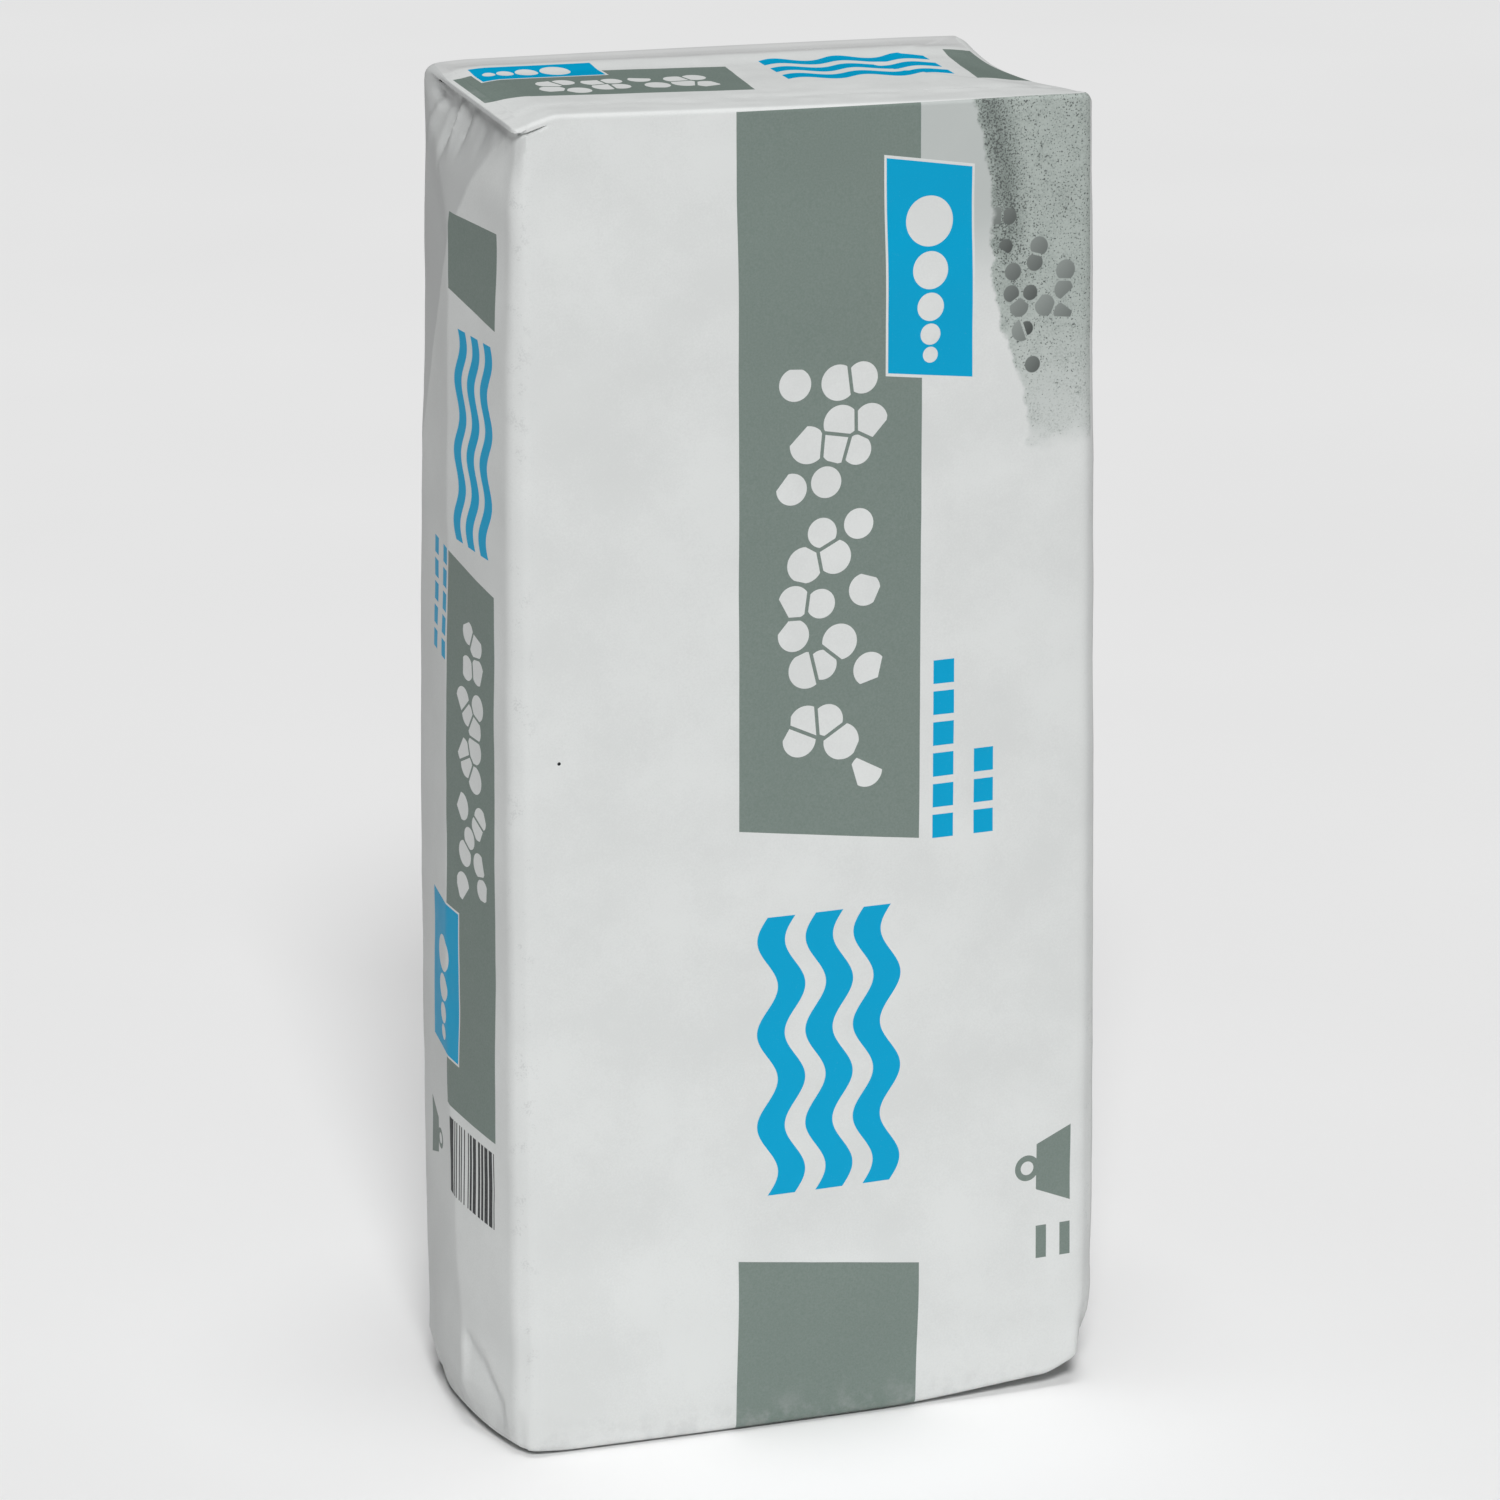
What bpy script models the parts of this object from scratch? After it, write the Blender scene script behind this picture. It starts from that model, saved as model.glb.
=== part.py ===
# A filled 25 kg paper valve sack of dry concrete mix, standing on its end.
#
# Frame: metres, +Z up, origin on the floor under the middle of the sack.
# The printed front faces -Y, and the valve end of the top is at -X.
#
# The sack is a cube cut into a grid whose points are then laid on the shape of the filled
# tube: rounded long edges, a fold line down each narrow side that splits into two creases
# towards each end, end panels that slope where the mix has settled, and a narrow side that is
# drawn in under the right end of the top. The pasted strips and the valve sleeve follow the panels.

import math

import bmesh
import bpy
from mathutils import Vector

# Overall size of the standing sack
HEIGHT = 0.550
HALF_WIDTH = 0.125
HALF_DEPTH = 0.061
RIGHT_EXTRA = -0.0019
TOP_LEFT_LOSS = 0.0012
TOP_RIGHT_LOSS = 0.0051
TOP_BACK_LOSS = 0.0095
WIDTH_BELLY = 0.0016

# Bulge of the two broad faces; it drops to FACE_BULGE_AT_ENDS of its full depth at each end,
# over a share of the height of 1 / SWELL_ABOVE_FOOT and 1 / SWELL_BELOW_TOP
FACE_BULGE = 0.0050
FACE_BULGE_AT_ENDS = 0.4
SWELL_ABOVE_FOOT = 8.0
SWELL_BELOW_TOP = 5.0

# Shares of the height where the back starts to lean in, how far up that takes, and where the
# long edges start to sharpen
BACK_LEAN_FROM = 0.55
BACK_LEAN_RISE = 0.40
SHARPER_EDGES_FROM = 0.8

# Narrow sides: the fold line stands out, and a crease runs from each of its ends to each corner;
# the weight of the mix swells the sides, less and less up to SWELL_SHARE of the height
FOLD_RIDGE = 0.0060
LEFT_SWELL = 0.0047
RIGHT_SWELL = 0.0072
SWELL_SHARE = 0.84
FOOT_CREASE_LENGTH = 0.045
TOP_CREASE_LENGTH = 0.053

# Lip of the valve end, with the wall stepping back under it; the last two values are the
# shares of the depth where the lip starts to fade and where it ends, towards the back
LIP_THICKNESS = 0.0016
LIP_OVERHANG = 0.0025
LIP_STEP_DROP = 0.0032
LIP_FADE = 0.030
LIP_CORNER_RADIUS = 0.0025
LIP_FULL = 0.30
LIP_END = 0.95

# Rounded edges; the upright ones are crisper at the front than at the back
LONG_EDGE_RADIUS = 0.0130
TOP_LONG_EDGE_RADIUS = 0.0075
FRONT_EDGE_RADIUS = 0.0075
TOP_FRONT_EDGE_RADIUS = 0.0055
END_EDGE_RADIUS = 0.0036
FOOT_RIGHT_EDGE_RADIUS = 0.0110
TOP_RIGHT_EDGE_RADIUS = 0.0065

# The two right corners of the foot are tucked in, up to FOOT_TUCK_HEIGHT above the floor and
# from FOOT_TUCK_FROM of the half depth outwards
FOOT_TUCK = 0.0075
FOOT_TUCK_HEIGHT = 0.036
FOOT_TUCK_FROM = 0.4
FOOT_TUCK_FADE = 0.55

# Top panel: lower to the right and to the front, more so at the right, and sagging at its right end
TOP_SLOPE_RIGHT = 0.0049
TOP_SLOPE_FRONT_LEFT = 0.0017
TOP_SLOPE_FRONT_RIGHT = 0.0052
TOP_SAG = 0.0030
TOP_SAG_LENGTH = 0.030
TOP_SAG_CENTRE = -0.022

# The emptier right end of the top is drawn in, most at DRAWN_IN_CENTRE, as far as DRAWN_IN_FRONT
# towards the front and fading past the back; it reaches DRAWN_IN_HEIGHT down the narrow side and
# DRAWN_IN_SHARE of the half width along the broad faces
DRAWN_IN = 0.0128
DRAWN_IN_CENTRE = 0.010
DRAWN_IN_FRONT = 0.071
DRAWN_IN_BACK = 0.110
DRAWN_IN_HEIGHT = 0.075
DRAWN_IN_SHARE = 0.4

# The lip's edge droops between two places across the sack, more at its front corner than at the back
DROOP_BACK = 0.0010
DROOP_FRONT = 0.0053
DROOP_FROM_Y = 0.0375
DROOP_TO_Y = -0.0574
DROOP_INNER_X = -0.1060
DROOP_OUTER_X = -0.1225
DROOP_POWER = 1.3

# Bottom panel: flat where it stands, lifted towards both short edges
FOOT_FLAT_LEFT = -0.104
FOOT_FLAT_RIGHT = 0.026
FOOT_LIFT_LEFT = 0.0012
FOOT_LIFT_RIGHT = 0.0052

# Pasted strips, which follow the end panels
PAPER_THICKNESS = 0.0004
GLUE_GAP = 0.0003
TOP_GLUE_GAP = 0.0005
PATCH_HALF_DEPTH = 0.040
TOP_PATCH_CENTRE = -0.0035
PATCH_END_MARGIN = 0.006
FOOT_PATCH_RIGHT_MARGIN = 0.014

# Flattened valve sleeve in its slot under the lip
SLEEVE_HALF_DEPTH = 0.036
SLEEVE_LENGTH = 0.110
SLEEVE_THICKNESS = 0.0010
SLEEVE_MOUTH_INSET = 0.0010
SLOT_GAP = 0.0003

# How finely each shape is divided
WIDTH_PIECES = 16
DEPTH_PIECES = 8
HEIGHT_PIECES = 16
CORNER_STEPS = 3
STRIP_PIECES = 12
DROOP_PIECES = 5
FOOT_STRIP_PIECES = 6
FOOT_STRIP_LEFT_CUTS = (0.0, 0.35, 0.7)
FOOT_EDGE_RINGS = (0.0, 0.1, 0.4, 1.0)
FIRST_RING = 0.032
LAST_RING = 0.92
LIP_FADE_RINGS = (0.6, 0.3)
LIP_EDGE_RING = 0.4
HALF_WAY = 0.5
ON_EDGE = 0.9999

PAPER_WHITE = (0.68, 0.70, 0.69, 1.0)
STRIP_WHITE = (0.62, 0.63, 0.63, 1.0)
SLEEVE_BROWN = (0.45, 0.33, 0.21, 1.0)
SACK_ROUGHNESS = 0.55
STRIP_ROUGHNESS = 0.60
SLEEVE_ROUGHNESS = 0.75
CREASE_ANGLE = math.radians(35)

# Worked out from the sizes above
FOOT_HEIGHT = PAPER_THICKNESS + GLUE_GAP
SLEEVE_TOP = -LIP_THICKNESS - SLOT_GAP
SLEEVE_MOUTH = TOP_LEFT_LOSS - HALF_WIDTH + LIP_OVERHANG + SLEEVE_MOUTH_INSET
SLOT_END_X = SLEEVE_MOUTH + SLEEVE_LENGTH + SLOT_GAP


def clamp(value, low, high):
    return max(low, min(high, value))


def smooth(value):
    """Rises from 0 to 1 with level ends."""
    value = clamp(value, 0.0, 1.0)
    return value * value * (3.0 - 2.0 * value)


def width_left(level):
    """Half width on the left at a share of the height: a slight belly, and less towards the top."""
    return HALF_WIDTH - TOP_LEFT_LOSS * level + WIDTH_BELLY * 4.0 * level * (1.0 - level)


def width_right(level):
    return width_left(level) + RIGHT_EXTRA - (TOP_RIGHT_LOSS - TOP_LEFT_LOSS) * level


def depth_back(level):
    """Half depth at the back, where the emptier top of the sack leans in."""
    return HALF_DEPTH - TOP_BACK_LOSS * smooth((level - BACK_LEAN_FROM) / BACK_LEAN_RISE)


def lip_droop(x, y):
    """How far the lip hangs below the plain slope of the top panel."""
    along_lip = clamp((DROOP_FROM_Y - y) / (DROOP_FROM_Y - DROOP_TO_Y), 0.0, 1.0)
    over_lip = clamp((DROOP_INNER_X - x) / (DROOP_INNER_X - DROOP_OUTER_X), 0.0, 1.0)
    return (DROOP_BACK + (DROOP_FRONT - DROOP_BACK) * along_lip) * over_lip**DROOP_POWER


def top_height(x, y):
    to_right = 0.5 + 0.5 * x / HALF_WIDTH
    to_front = 0.5 - 0.5 * y / HALF_DEPTH
    slope_front = TOP_SLOPE_FRONT_LEFT + (TOP_SLOPE_FRONT_RIGHT - TOP_SLOPE_FRONT_LEFT) * to_right
    slope = TOP_SLOPE_RIGHT * to_right + slope_front * to_front
    reach = HALF_DEPTH - TOP_SAG_CENTRE if y > TOP_SAG_CENTRE else HALF_DEPTH + TOP_SAG_CENTRE
    across = smooth(1.0 - abs(y - TOP_SAG_CENTRE) / reach)
    towards_end = smooth(1.0 - (width_right(1.0) - drawn_in(y, 1.0) - x) / TOP_SAG_LENGTH)
    return HEIGHT - slope - TOP_SAG * across * towards_end - lip_droop(x, y)


def foot_height(x, _y):
    """Height of the foot, which lifts towards the short edges and is level from front to back."""
    right = smooth((x - FOOT_FLAT_RIGHT) / (HALF_WIDTH - FOOT_FLAT_RIGHT))
    left = smooth((FOOT_FLAT_LEFT - x) / (HALF_WIDTH + FOOT_FLAT_LEFT))
    return FOOT_LIFT_RIGHT * right + FOOT_LIFT_LEFT * left


def edge_radius(level, at_front, on_lip):
    if on_lip:
        return LIP_CORNER_RADIUS
    low = FRONT_EDGE_RADIUS if at_front else LONG_EDGE_RADIUS
    high = TOP_FRONT_EDGE_RADIUS if at_front else TOP_LONG_EDGE_RADIUS
    sharper = smooth((level - SHARPER_EDGES_FROM) / (1.0 - SHARPER_EDGES_FROM))
    return low + (high - low) * sharper


def drawn_in(y, level):
    """How far the right end of the sack is drawn in at a place of its depth and height."""
    reach = DRAWN_IN_BACK if y > DRAWN_IN_CENTRE else DRAWN_IN_FRONT
    across = smooth(1.0 - abs(y - DRAWN_IN_CENTRE) / reach)
    return DRAWN_IN * across * smooth(1.0 - HEIGHT * (1.0 - level) / DRAWN_IN_HEIGHT)


def outline(s, t, level, on_lip):
    """Point and outward direction on a level section, for (s, t) on the edge of a square from -1 to 1."""
    left = width_left(level)
    right = width_right(level)
    back = depth_back(level)
    radius = edge_radius(level, t < 0.0, on_lip and s < 0.0 and t < 0.0)
    x = s * (right if s > 0.0 else left)
    y = t * (back if t > 0.0 else HALF_DEPTH)
    centre = Vector((
        clamp(x, radius - left, right - radius),
        clamp(y, radius - HALF_DEPTH, back - radius),
    ))
    outward = (Vector((x, y)) - centre).normalized()
    point = centre + radius * outward
    if abs(t) > ON_EDGE:
        swell = smooth(min(SWELL_ABOVE_FOOT * level, SWELL_BELOW_TOP * (1.0 - level)))
        swell = FACE_BULGE_AT_ENDS + (1.0 - FACE_BULGE_AT_ENDS) * swell
        point.y += math.copysign(FACE_BULGE * (1.0 - s * s) * swell, t)
    if abs(s) > ON_EDGE:
        to_end = HEIGHT * min(level / FOOT_CREASE_LENGTH, (1.0 - level) / TOP_CREASE_LENGTH)
        ridge = FOLD_RIDGE * clamp(min(1.0 - abs(t), to_end), 0.0, 1.0)
        swell = RIGHT_SWELL if s > 0.0 else LEFT_SWELL
        swollen = swell * (1.0 - t * t) * clamp(1.0 - level / SWELL_SHARE, 0.0, 1.0)
        point.x += math.copysign(ridge + swollen, s)
    point.x -= drawn_in(point.y, level) * smooth((s - 1.0 + DRAWN_IN_SHARE) / DRAWN_IN_SHARE)
    return point, outward


def end_edge_radius(outward, at_foot):
    """Radius between an end panel and the wall, larger at the slack right end."""
    right_radius = FOOT_RIGHT_EDGE_RADIUS if at_foot else TOP_RIGHT_EDGE_RADIUS
    return END_EDGE_RADIUS + (right_radius - END_EDGE_RADIUS) * smooth(outward.x)


def rounded_inset(drop, radius):
    """Inset of an end edge of round section, drop metres from its end panel."""
    reach = radius - min(drop, radius)
    return radius - math.sqrt(radius**2 - reach**2)


def lip_inset(drop):
    """How far the wall of the valve end steps back under the lip, drop metres below the top panel."""
    if drop < LIP_STEP_DROP:
        return 0.0
    return LIP_OVERHANG * smooth(1.0 - (drop - LIP_STEP_DROP) / LIP_FADE)


def foot_tuck(t, outward, height):
    """How far the right corners of the foot are tucked in at a height above the foot."""
    towards_corner = smooth((abs(t) - FOOT_TUCK_FROM) / FOOT_TUCK_FADE)
    towards_foot = clamp(1.0 - height / FOOT_TUCK_HEIGHT, 0.0, 1.0)
    return FOOT_TUCK * smooth(outward.x) * towards_corner * towards_foot**2


def wall_rings():
    """(share of the height, distance above it) for every ring of the wall, from the foot up.

    The distance is a share of the local edge radius at the foot, and metres at the top.
    """
    rings = [(0.0, above) for above in FOOT_EDGE_RINGS]
    for index in range(HEIGHT_PIECES + 1):
        rings.append((FIRST_RING + (LAST_RING - FIRST_RING) * index / HEIGHT_PIECES, 0.0))
    drops = [LIP_FADE * share for share in LIP_FADE_RINGS]
    drops += [LIP_STEP_DROP, LIP_THICKNESS, LIP_THICKNESS * LIP_EDGE_RING, 0.0]
    return rings + [(1.0, -drop) for drop in drops]


def wall_point(s, t, ring):
    share, above = ring
    at_foot = share == 0.0
    drop = -above if share == 1.0 else HEIGHT * (1.0 - share)
    point, outward = outline(s, t, clamp(share, 0.0, 1.0 - drop / HEIGHT), drop <= LIP_THICKNESS)
    edge = end_edge_radius(outward, at_foot)
    if at_foot:
        above *= edge
    inset = rounded_inset(above, edge) if at_foot else rounded_inset(drop, edge)
    if share > HALF_WAY:
        at_lip = smooth(-outward.x) * smooth((LIP_END - t) / (LIP_END - LIP_FULL))
        inset += (lip_inset(drop) - inset) * at_lip
    inset += foot_tuck(t, outward, HEIGHT * share + max(above, 0.0))
    point -= outward * inset
    low = foot_height(*point) + FOOT_HEIGHT
    return Vector((point.x, point.y, low + (top_height(*point) - low) * share + above))


def panel_point(s, t, ring):
    """Point inside an end panel: the panel's edge drawn in towards the middle."""
    reach = max(abs(s), abs(t))
    x, y = 0.0, 0.0
    if reach > 0.0:
        edge = wall_point(s / reach, t / reach, ring)
        x, y = edge.x * reach, edge.y * reach
    if ring[0] == 1.0:
        return Vector((x, y, top_height(x, y)))
    return Vector((x, y, foot_height(x, y) + FOOT_HEIGHT))


def corner_cuts(half, pieces):
    """Cut places from -1 to 1: even along the flat, and at even angles around each corner."""
    share = LONG_EDGE_RADIUS / half
    flat = 1.0 - share
    places = [-flat + 2.0 * flat * index / pieces for index in range(pieces + 1)]
    for step in range(1, CORNER_STEPS):
        place = flat + share * math.tan(math.radians(45) * step / CORNER_STEPS)
        places += [place, -place]
    return places


def cut_cube(cuts):
    """A cube from -1 to 1, cut at the given places of each axis."""
    grid = bmesh.new()
    bmesh.ops.create_cube(grid, size=2.0)
    for axis, places in enumerate(cuts):
        normal = Vector([float(axis == other) for other in range(3)])
        for place in places:
            everything = grid.verts[:] + grid.edges[:] + grid.faces[:]
            bmesh.ops.bisect_plane(grid, geom=everything, plane_co=normal * place, plane_no=normal)
    return grid


def follow_panel(grid, x_range, y_range, heights, surface, end_drawn_in=0.0):
    """Lays a cut cube on an end panel as a flat strip between two heights above the panel's surface.

    The strip's right end follows the drawn in end of the panel by a share of it.
    """
    for vertex in grid.verts:
        s, t, w = vertex.co
        y = y_range[0] + (y_range[1] - y_range[0]) * (0.5 + 0.5 * t)
        end = x_range[1] - end_drawn_in * drawn_in(y, 1.0)
        x = x_range[0] + (end - x_range[0]) * (0.5 + 0.5 * s)
        vertex.co = (x, y, surface(x, y) + heights[w > 0.0])


def paper(name, colour, roughness):
    material = bpy.data.materials.new(name)
    material.use_nodes = True
    shader = material.node_tree.nodes["Principled BSDF"]
    shader.inputs["Base Color"].default_value = colour
    shader.inputs["Roughness"].default_value = roughness
    shader.inputs["Metallic"].default_value = 0.0
    material.diffuse_color = colour
    return material


def add_piece(name, grid, material):
    """Turns a grid into a named object with its own material, shaded smooth except at creases."""
    mesh = bpy.data.meshes.new(name)
    grid.to_mesh(mesh)
    grid.free()
    mesh.shade_smooth()
    mesh.set_sharp_from_angle(angle=CREASE_ANGLE)
    mesh.materials.append(material)
    piece = bpy.data.objects.new(name, mesh)
    bpy.context.scene.collection.objects.link(piece)
    return piece


def even_cuts(pieces):
    return [-1.0 + 2.0 * index / pieces for index in range(1, pieces)]


def cuts_at(places, low, high):
    """Cuts from -1 to 1 for the places that lie between low and high."""
    return [2.0 * (place - low) / (high - low) - 1.0 for place in places if low < place < high]


def slot_places():
    """Where the slot and the sleeve are cut along their length: closely where the lip droops."""
    droop = (DROOP_INNER_X - DROOP_OUTER_X) / DROOP_PIECES
    inner = (SLOT_END_X - DROOP_INNER_X) / STRIP_PIECES
    places = [DROOP_OUTER_X + droop * index for index in range(DROOP_PIECES)]
    return places + [DROOP_INNER_X + inner * index for index in range(STRIP_PIECES)]


def make_sack():
    rings = wall_rings()
    last = len(rings) - 1
    cuts = [
        corner_cuts(HALF_WIDTH, WIDTH_PIECES),
        corner_cuts(HALF_DEPTH, DEPTH_PIECES),
        even_cuts(last),
    ]
    grid = cut_cube(cuts)
    for vertex in grid.verts:
        s, t, w = vertex.co
        ring = rings[round((0.5 + 0.5 * w) * last)]
        on_wall = max(abs(s), abs(t)) > ON_EDGE
        vertex.co = wall_point(s, t, ring) if on_wall else panel_point(s, t, ring)
    return add_piece("sack", grid, paper("sack_paper", PAPER_WHITE, SACK_ROUGHNESS))


def cut_valve_slot(sack):
    """Opens the flat slot under the lip that the valve sleeve lies in."""
    start = -HALF_WIDTH - SLEEVE_LENGTH
    grid = cut_cube([cuts_at(slot_places(), start, SLOT_END_X), even_cuts(STRIP_PIECES), []])
    half_depth = SLEEVE_HALF_DEPTH + SLOT_GAP
    follow_panel(
        grid,
        (start, SLOT_END_X),
        (-half_depth, half_depth),
        (SLEEVE_TOP - SLEEVE_THICKNESS - SLOT_GAP, SLEEVE_TOP + SLOT_GAP),
        top_height,
    )
    cutter = add_piece("valve_slot_cutter", grid, paper("cutter", SLEEVE_BROWN, SLEEVE_ROUGHNESS))
    cutter.hide_render = True
    cutter.display_type = "WIRE"
    slot = sack.modifiers.new("valve_slot", "BOOLEAN")
    slot.operation = "DIFFERENCE"
    slot.solver = "EXACT"
    slot.object = cutter


def make_valve_sleeve():
    end = SLEEVE_MOUTH + SLEEVE_LENGTH
    grid = cut_cube([cuts_at(slot_places(), SLEEVE_MOUTH, end), even_cuts(STRIP_PIECES), []])
    follow_panel(
        grid,
        (SLEEVE_MOUTH, end),
        (-SLEEVE_HALF_DEPTH, SLEEVE_HALF_DEPTH),
        (SLEEVE_TOP - SLEEVE_THICKNESS, SLEEVE_TOP),
        top_height,
    )
    return add_piece("valve_sleeve", grid, paper("sleeve_paper", SLEEVE_BROWN, SLEEVE_ROUGHNESS))


def make_top_cover_patch():
    grid = cut_cube([even_cuts(2 * STRIP_PIECES), even_cuts(STRIP_PIECES), []])
    follow_panel(
        grid,
        (PATCH_END_MARGIN - width_left(1.0), width_right(1.0) - PATCH_END_MARGIN),
        (TOP_PATCH_CENTRE - PATCH_HALF_DEPTH, TOP_PATCH_CENTRE + PATCH_HALF_DEPTH),
        (TOP_GLUE_GAP, TOP_GLUE_GAP + PAPER_THICKNESS),
        top_height,
        end_drawn_in=1.0,
    )
    return add_piece("top_cover_patch", grid, paper("top_strip_paper", STRIP_WHITE, STRIP_ROUGHNESS))


def make_bottom_cover_patch():
    """The strip the sack stands on, one flat face between its lifted ends."""
    left = PATCH_END_MARGIN - HALF_WIDTH
    right = HALF_WIDTH - FOOT_PATCH_RIGHT_MARGIN
    step = (right - FOOT_FLAT_RIGHT) / FOOT_STRIP_PIECES
    places = [FOOT_FLAT_LEFT + (left - FOOT_FLAT_LEFT) * share for share in FOOT_STRIP_LEFT_CUTS]
    places += [FOOT_FLAT_RIGHT + step * index for index in range(FOOT_STRIP_PIECES)]
    grid = cut_cube([cuts_at(places, left, right), [], []])
    follow_panel(
        grid,
        (left, right),
        (-PATCH_HALF_DEPTH, PATCH_HALF_DEPTH),
        (0.0, PAPER_THICKNESS),
        foot_height,
    )
    return add_piece("bottom_cover_patch", grid, paper("bottom_strip_paper", STRIP_WHITE, STRIP_ROUGHNESS))


def clear_scene():
    for leftover in list(bpy.data.objects):
        bpy.data.objects.remove(leftover, do_unlink=True)


def main():
    clear_scene()
    cut_valve_slot(make_sack())
    make_valve_sleeve()
    make_top_cover_patch()
    make_bottom_cover_patch()


main()
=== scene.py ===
# %% [markdown]
# # A paper sack of dry concrete mix
#
# The real object is a filled valve sack that stands on its end: a paper tube, folded flat at both
# ends like a parcel, with a paper strip pasted over each fold. The filling nozzle went in through
# a flat paper sleeve under the lip at the left end of the top.
#
# The packed CAD solids already hold the size and the main shape. They could be shown as they are,
# but paper under pressure has creases, dents and crisp folds that coarse solids leave out. So each
# solid keeps its place for the collision model, and a finer skin with the same shape stands for it.

import math

import bmesh
import bpy
import numpy as np
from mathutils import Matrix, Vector, noise


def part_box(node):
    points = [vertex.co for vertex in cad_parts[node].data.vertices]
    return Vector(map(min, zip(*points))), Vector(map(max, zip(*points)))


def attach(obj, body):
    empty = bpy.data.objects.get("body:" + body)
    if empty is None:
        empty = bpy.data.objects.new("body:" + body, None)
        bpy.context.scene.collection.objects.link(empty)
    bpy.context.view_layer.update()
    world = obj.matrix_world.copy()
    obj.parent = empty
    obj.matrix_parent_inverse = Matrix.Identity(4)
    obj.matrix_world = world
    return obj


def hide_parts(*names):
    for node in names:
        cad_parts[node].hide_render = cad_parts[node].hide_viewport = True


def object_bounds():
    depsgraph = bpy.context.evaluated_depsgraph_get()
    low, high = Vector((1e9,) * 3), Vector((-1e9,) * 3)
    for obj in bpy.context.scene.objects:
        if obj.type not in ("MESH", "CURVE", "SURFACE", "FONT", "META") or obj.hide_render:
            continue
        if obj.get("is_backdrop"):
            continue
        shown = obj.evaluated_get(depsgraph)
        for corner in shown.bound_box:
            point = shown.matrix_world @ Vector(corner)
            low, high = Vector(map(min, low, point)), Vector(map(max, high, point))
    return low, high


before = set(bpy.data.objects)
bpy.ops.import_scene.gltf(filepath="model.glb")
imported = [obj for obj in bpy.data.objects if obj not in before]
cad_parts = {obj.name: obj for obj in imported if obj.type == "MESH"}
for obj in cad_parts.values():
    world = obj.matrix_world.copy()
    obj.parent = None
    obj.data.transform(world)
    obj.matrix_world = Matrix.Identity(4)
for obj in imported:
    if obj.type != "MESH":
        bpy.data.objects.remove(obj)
cad_low, cad_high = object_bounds()
print("solids", sorted(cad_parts), "box", [round(v, 4) for v in cad_high - cad_low])

# %% [markdown]
# ## The camera
#
# A photograph of a box-like object fixes its own camera: the three sets of parallel edges give the
# direction, and the way they draw together gives the distance. A long lens from three metres away
# shows the sack with hardly any perspective. The camera could be aimed with a constraint, but a
# rotation worked out once from the view direction keeps the scene free of anything that moves.

# %% Place the camera
CAMERA_AZIMUTH = -20.92
CAMERA_ELEVATION = 16.06
CAMERA_DISTANCE = 3.0704
AIM_HEIGHT = 0.275
AIM_RIGHT = -0.003893
AIM_UP = -0.007296
LENS_PIXELS = 7591.3
PHOTO_PIXELS = 1500
SENSOR_MM = 36.0


def add_object(name, data):
    made = bpy.data.objects.new(name, data)
    bpy.context.scene.collection.objects.link(made)
    return made


def direction(azimuth, elevation):
    """The level direction at an azimuth in degrees, raised by an elevation in degrees."""
    a, e = math.radians(azimuth), math.radians(elevation)
    return Vector((math.sin(a) * math.cos(e), -math.cos(a) * math.cos(e), math.sin(e)))


to_camera = direction(CAMERA_AZIMUTH, CAMERA_ELEVATION)
view_right = direction(CAMERA_AZIMUTH + 90.0, 0.0)
view_up = to_camera.cross(view_right)
aim = Vector((0.0, 0.0, AIM_HEIGHT)) + AIM_RIGHT * view_right + AIM_UP * view_up

lens = bpy.data.cameras.new("long_lens")
lens.sensor_width = SENSOR_MM
lens.lens = LENS_PIXELS / PHOTO_PIXELS * SENSOR_MM
lens.clip_end = 50.0
camera = add_object("camera", lens)
camera.location = aim + CAMERA_DISTANCE * to_camera
camera.rotation_euler = to_camera.to_track_quat("Z", "Y").to_euler()
bpy.context.scene.camera = camera
print("lens", round(lens.lens, 1), "mm from", round(CAMERA_DISTANCE, 2), "m")

# %% [markdown]
# ## The size of the filled sack
#
# These are the sizes that the solids were made from, so the skin lands on them. The sack is
# slimmer at the top, where the mix has settled, and each narrow side has a fold line down its
# middle that splits into two creases towards each end.

# %% Sizes
HEIGHT = 0.550
HALF_WIDTH = 0.125
HALF_DEPTH = 0.061
RIGHT_EXTRA = -0.0019
TOP_LEFT_LOSS = 0.0012
TOP_RIGHT_LOSS = 0.0051
TOP_BACK_LOSS = 0.0095
BACK_LOSS_FROM = 0.55
BACK_LOSS_LENGTH = 0.40
WIDTH_BELLY = 0.0016
FACE_BULGE = 0.0050
FOLD_RIDGE = 0.0060
LEFT_SWELL = 0.0047
RIGHT_SWELL = 0.0072
SWELL_SHARE = 0.84
CREASE_LENGTH = 0.045
LONG_EDGE_RADIUS = 0.0130
TOP_LONG_EDGE_RADIUS = 0.0075
FRONT_EDGE_RADIUS = 0.0075
TOP_FRONT_EDGE_RADIUS = 0.0055
END_EDGE_RADIUS = 0.0036
FOOT_RIGHT_EDGE_RADIUS = 0.0110
TOP_RIGHT_EDGE_RADIUS = 0.0065
TOP_FRONT_ROUNDING = 0.0018
FOOT_HEIGHT = 0.0007


def smooth(share):
    """Rises from 0 to 1 with level ends."""
    share = np.clip(share, 0.0, 1.0)
    return share * share * (3.0 - 2.0 * share)


def blend(low, high, share):
    return low + (high - low) * share


def half_width_left(level):
    return HALF_WIDTH - TOP_LEFT_LOSS * level + WIDTH_BELLY * 4.0 * level * (1.0 - level)


def half_width_right(level):
    return half_width_left(level) + RIGHT_EXTRA - (TOP_RIGHT_LOSS - TOP_LEFT_LOSS) * level


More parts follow.
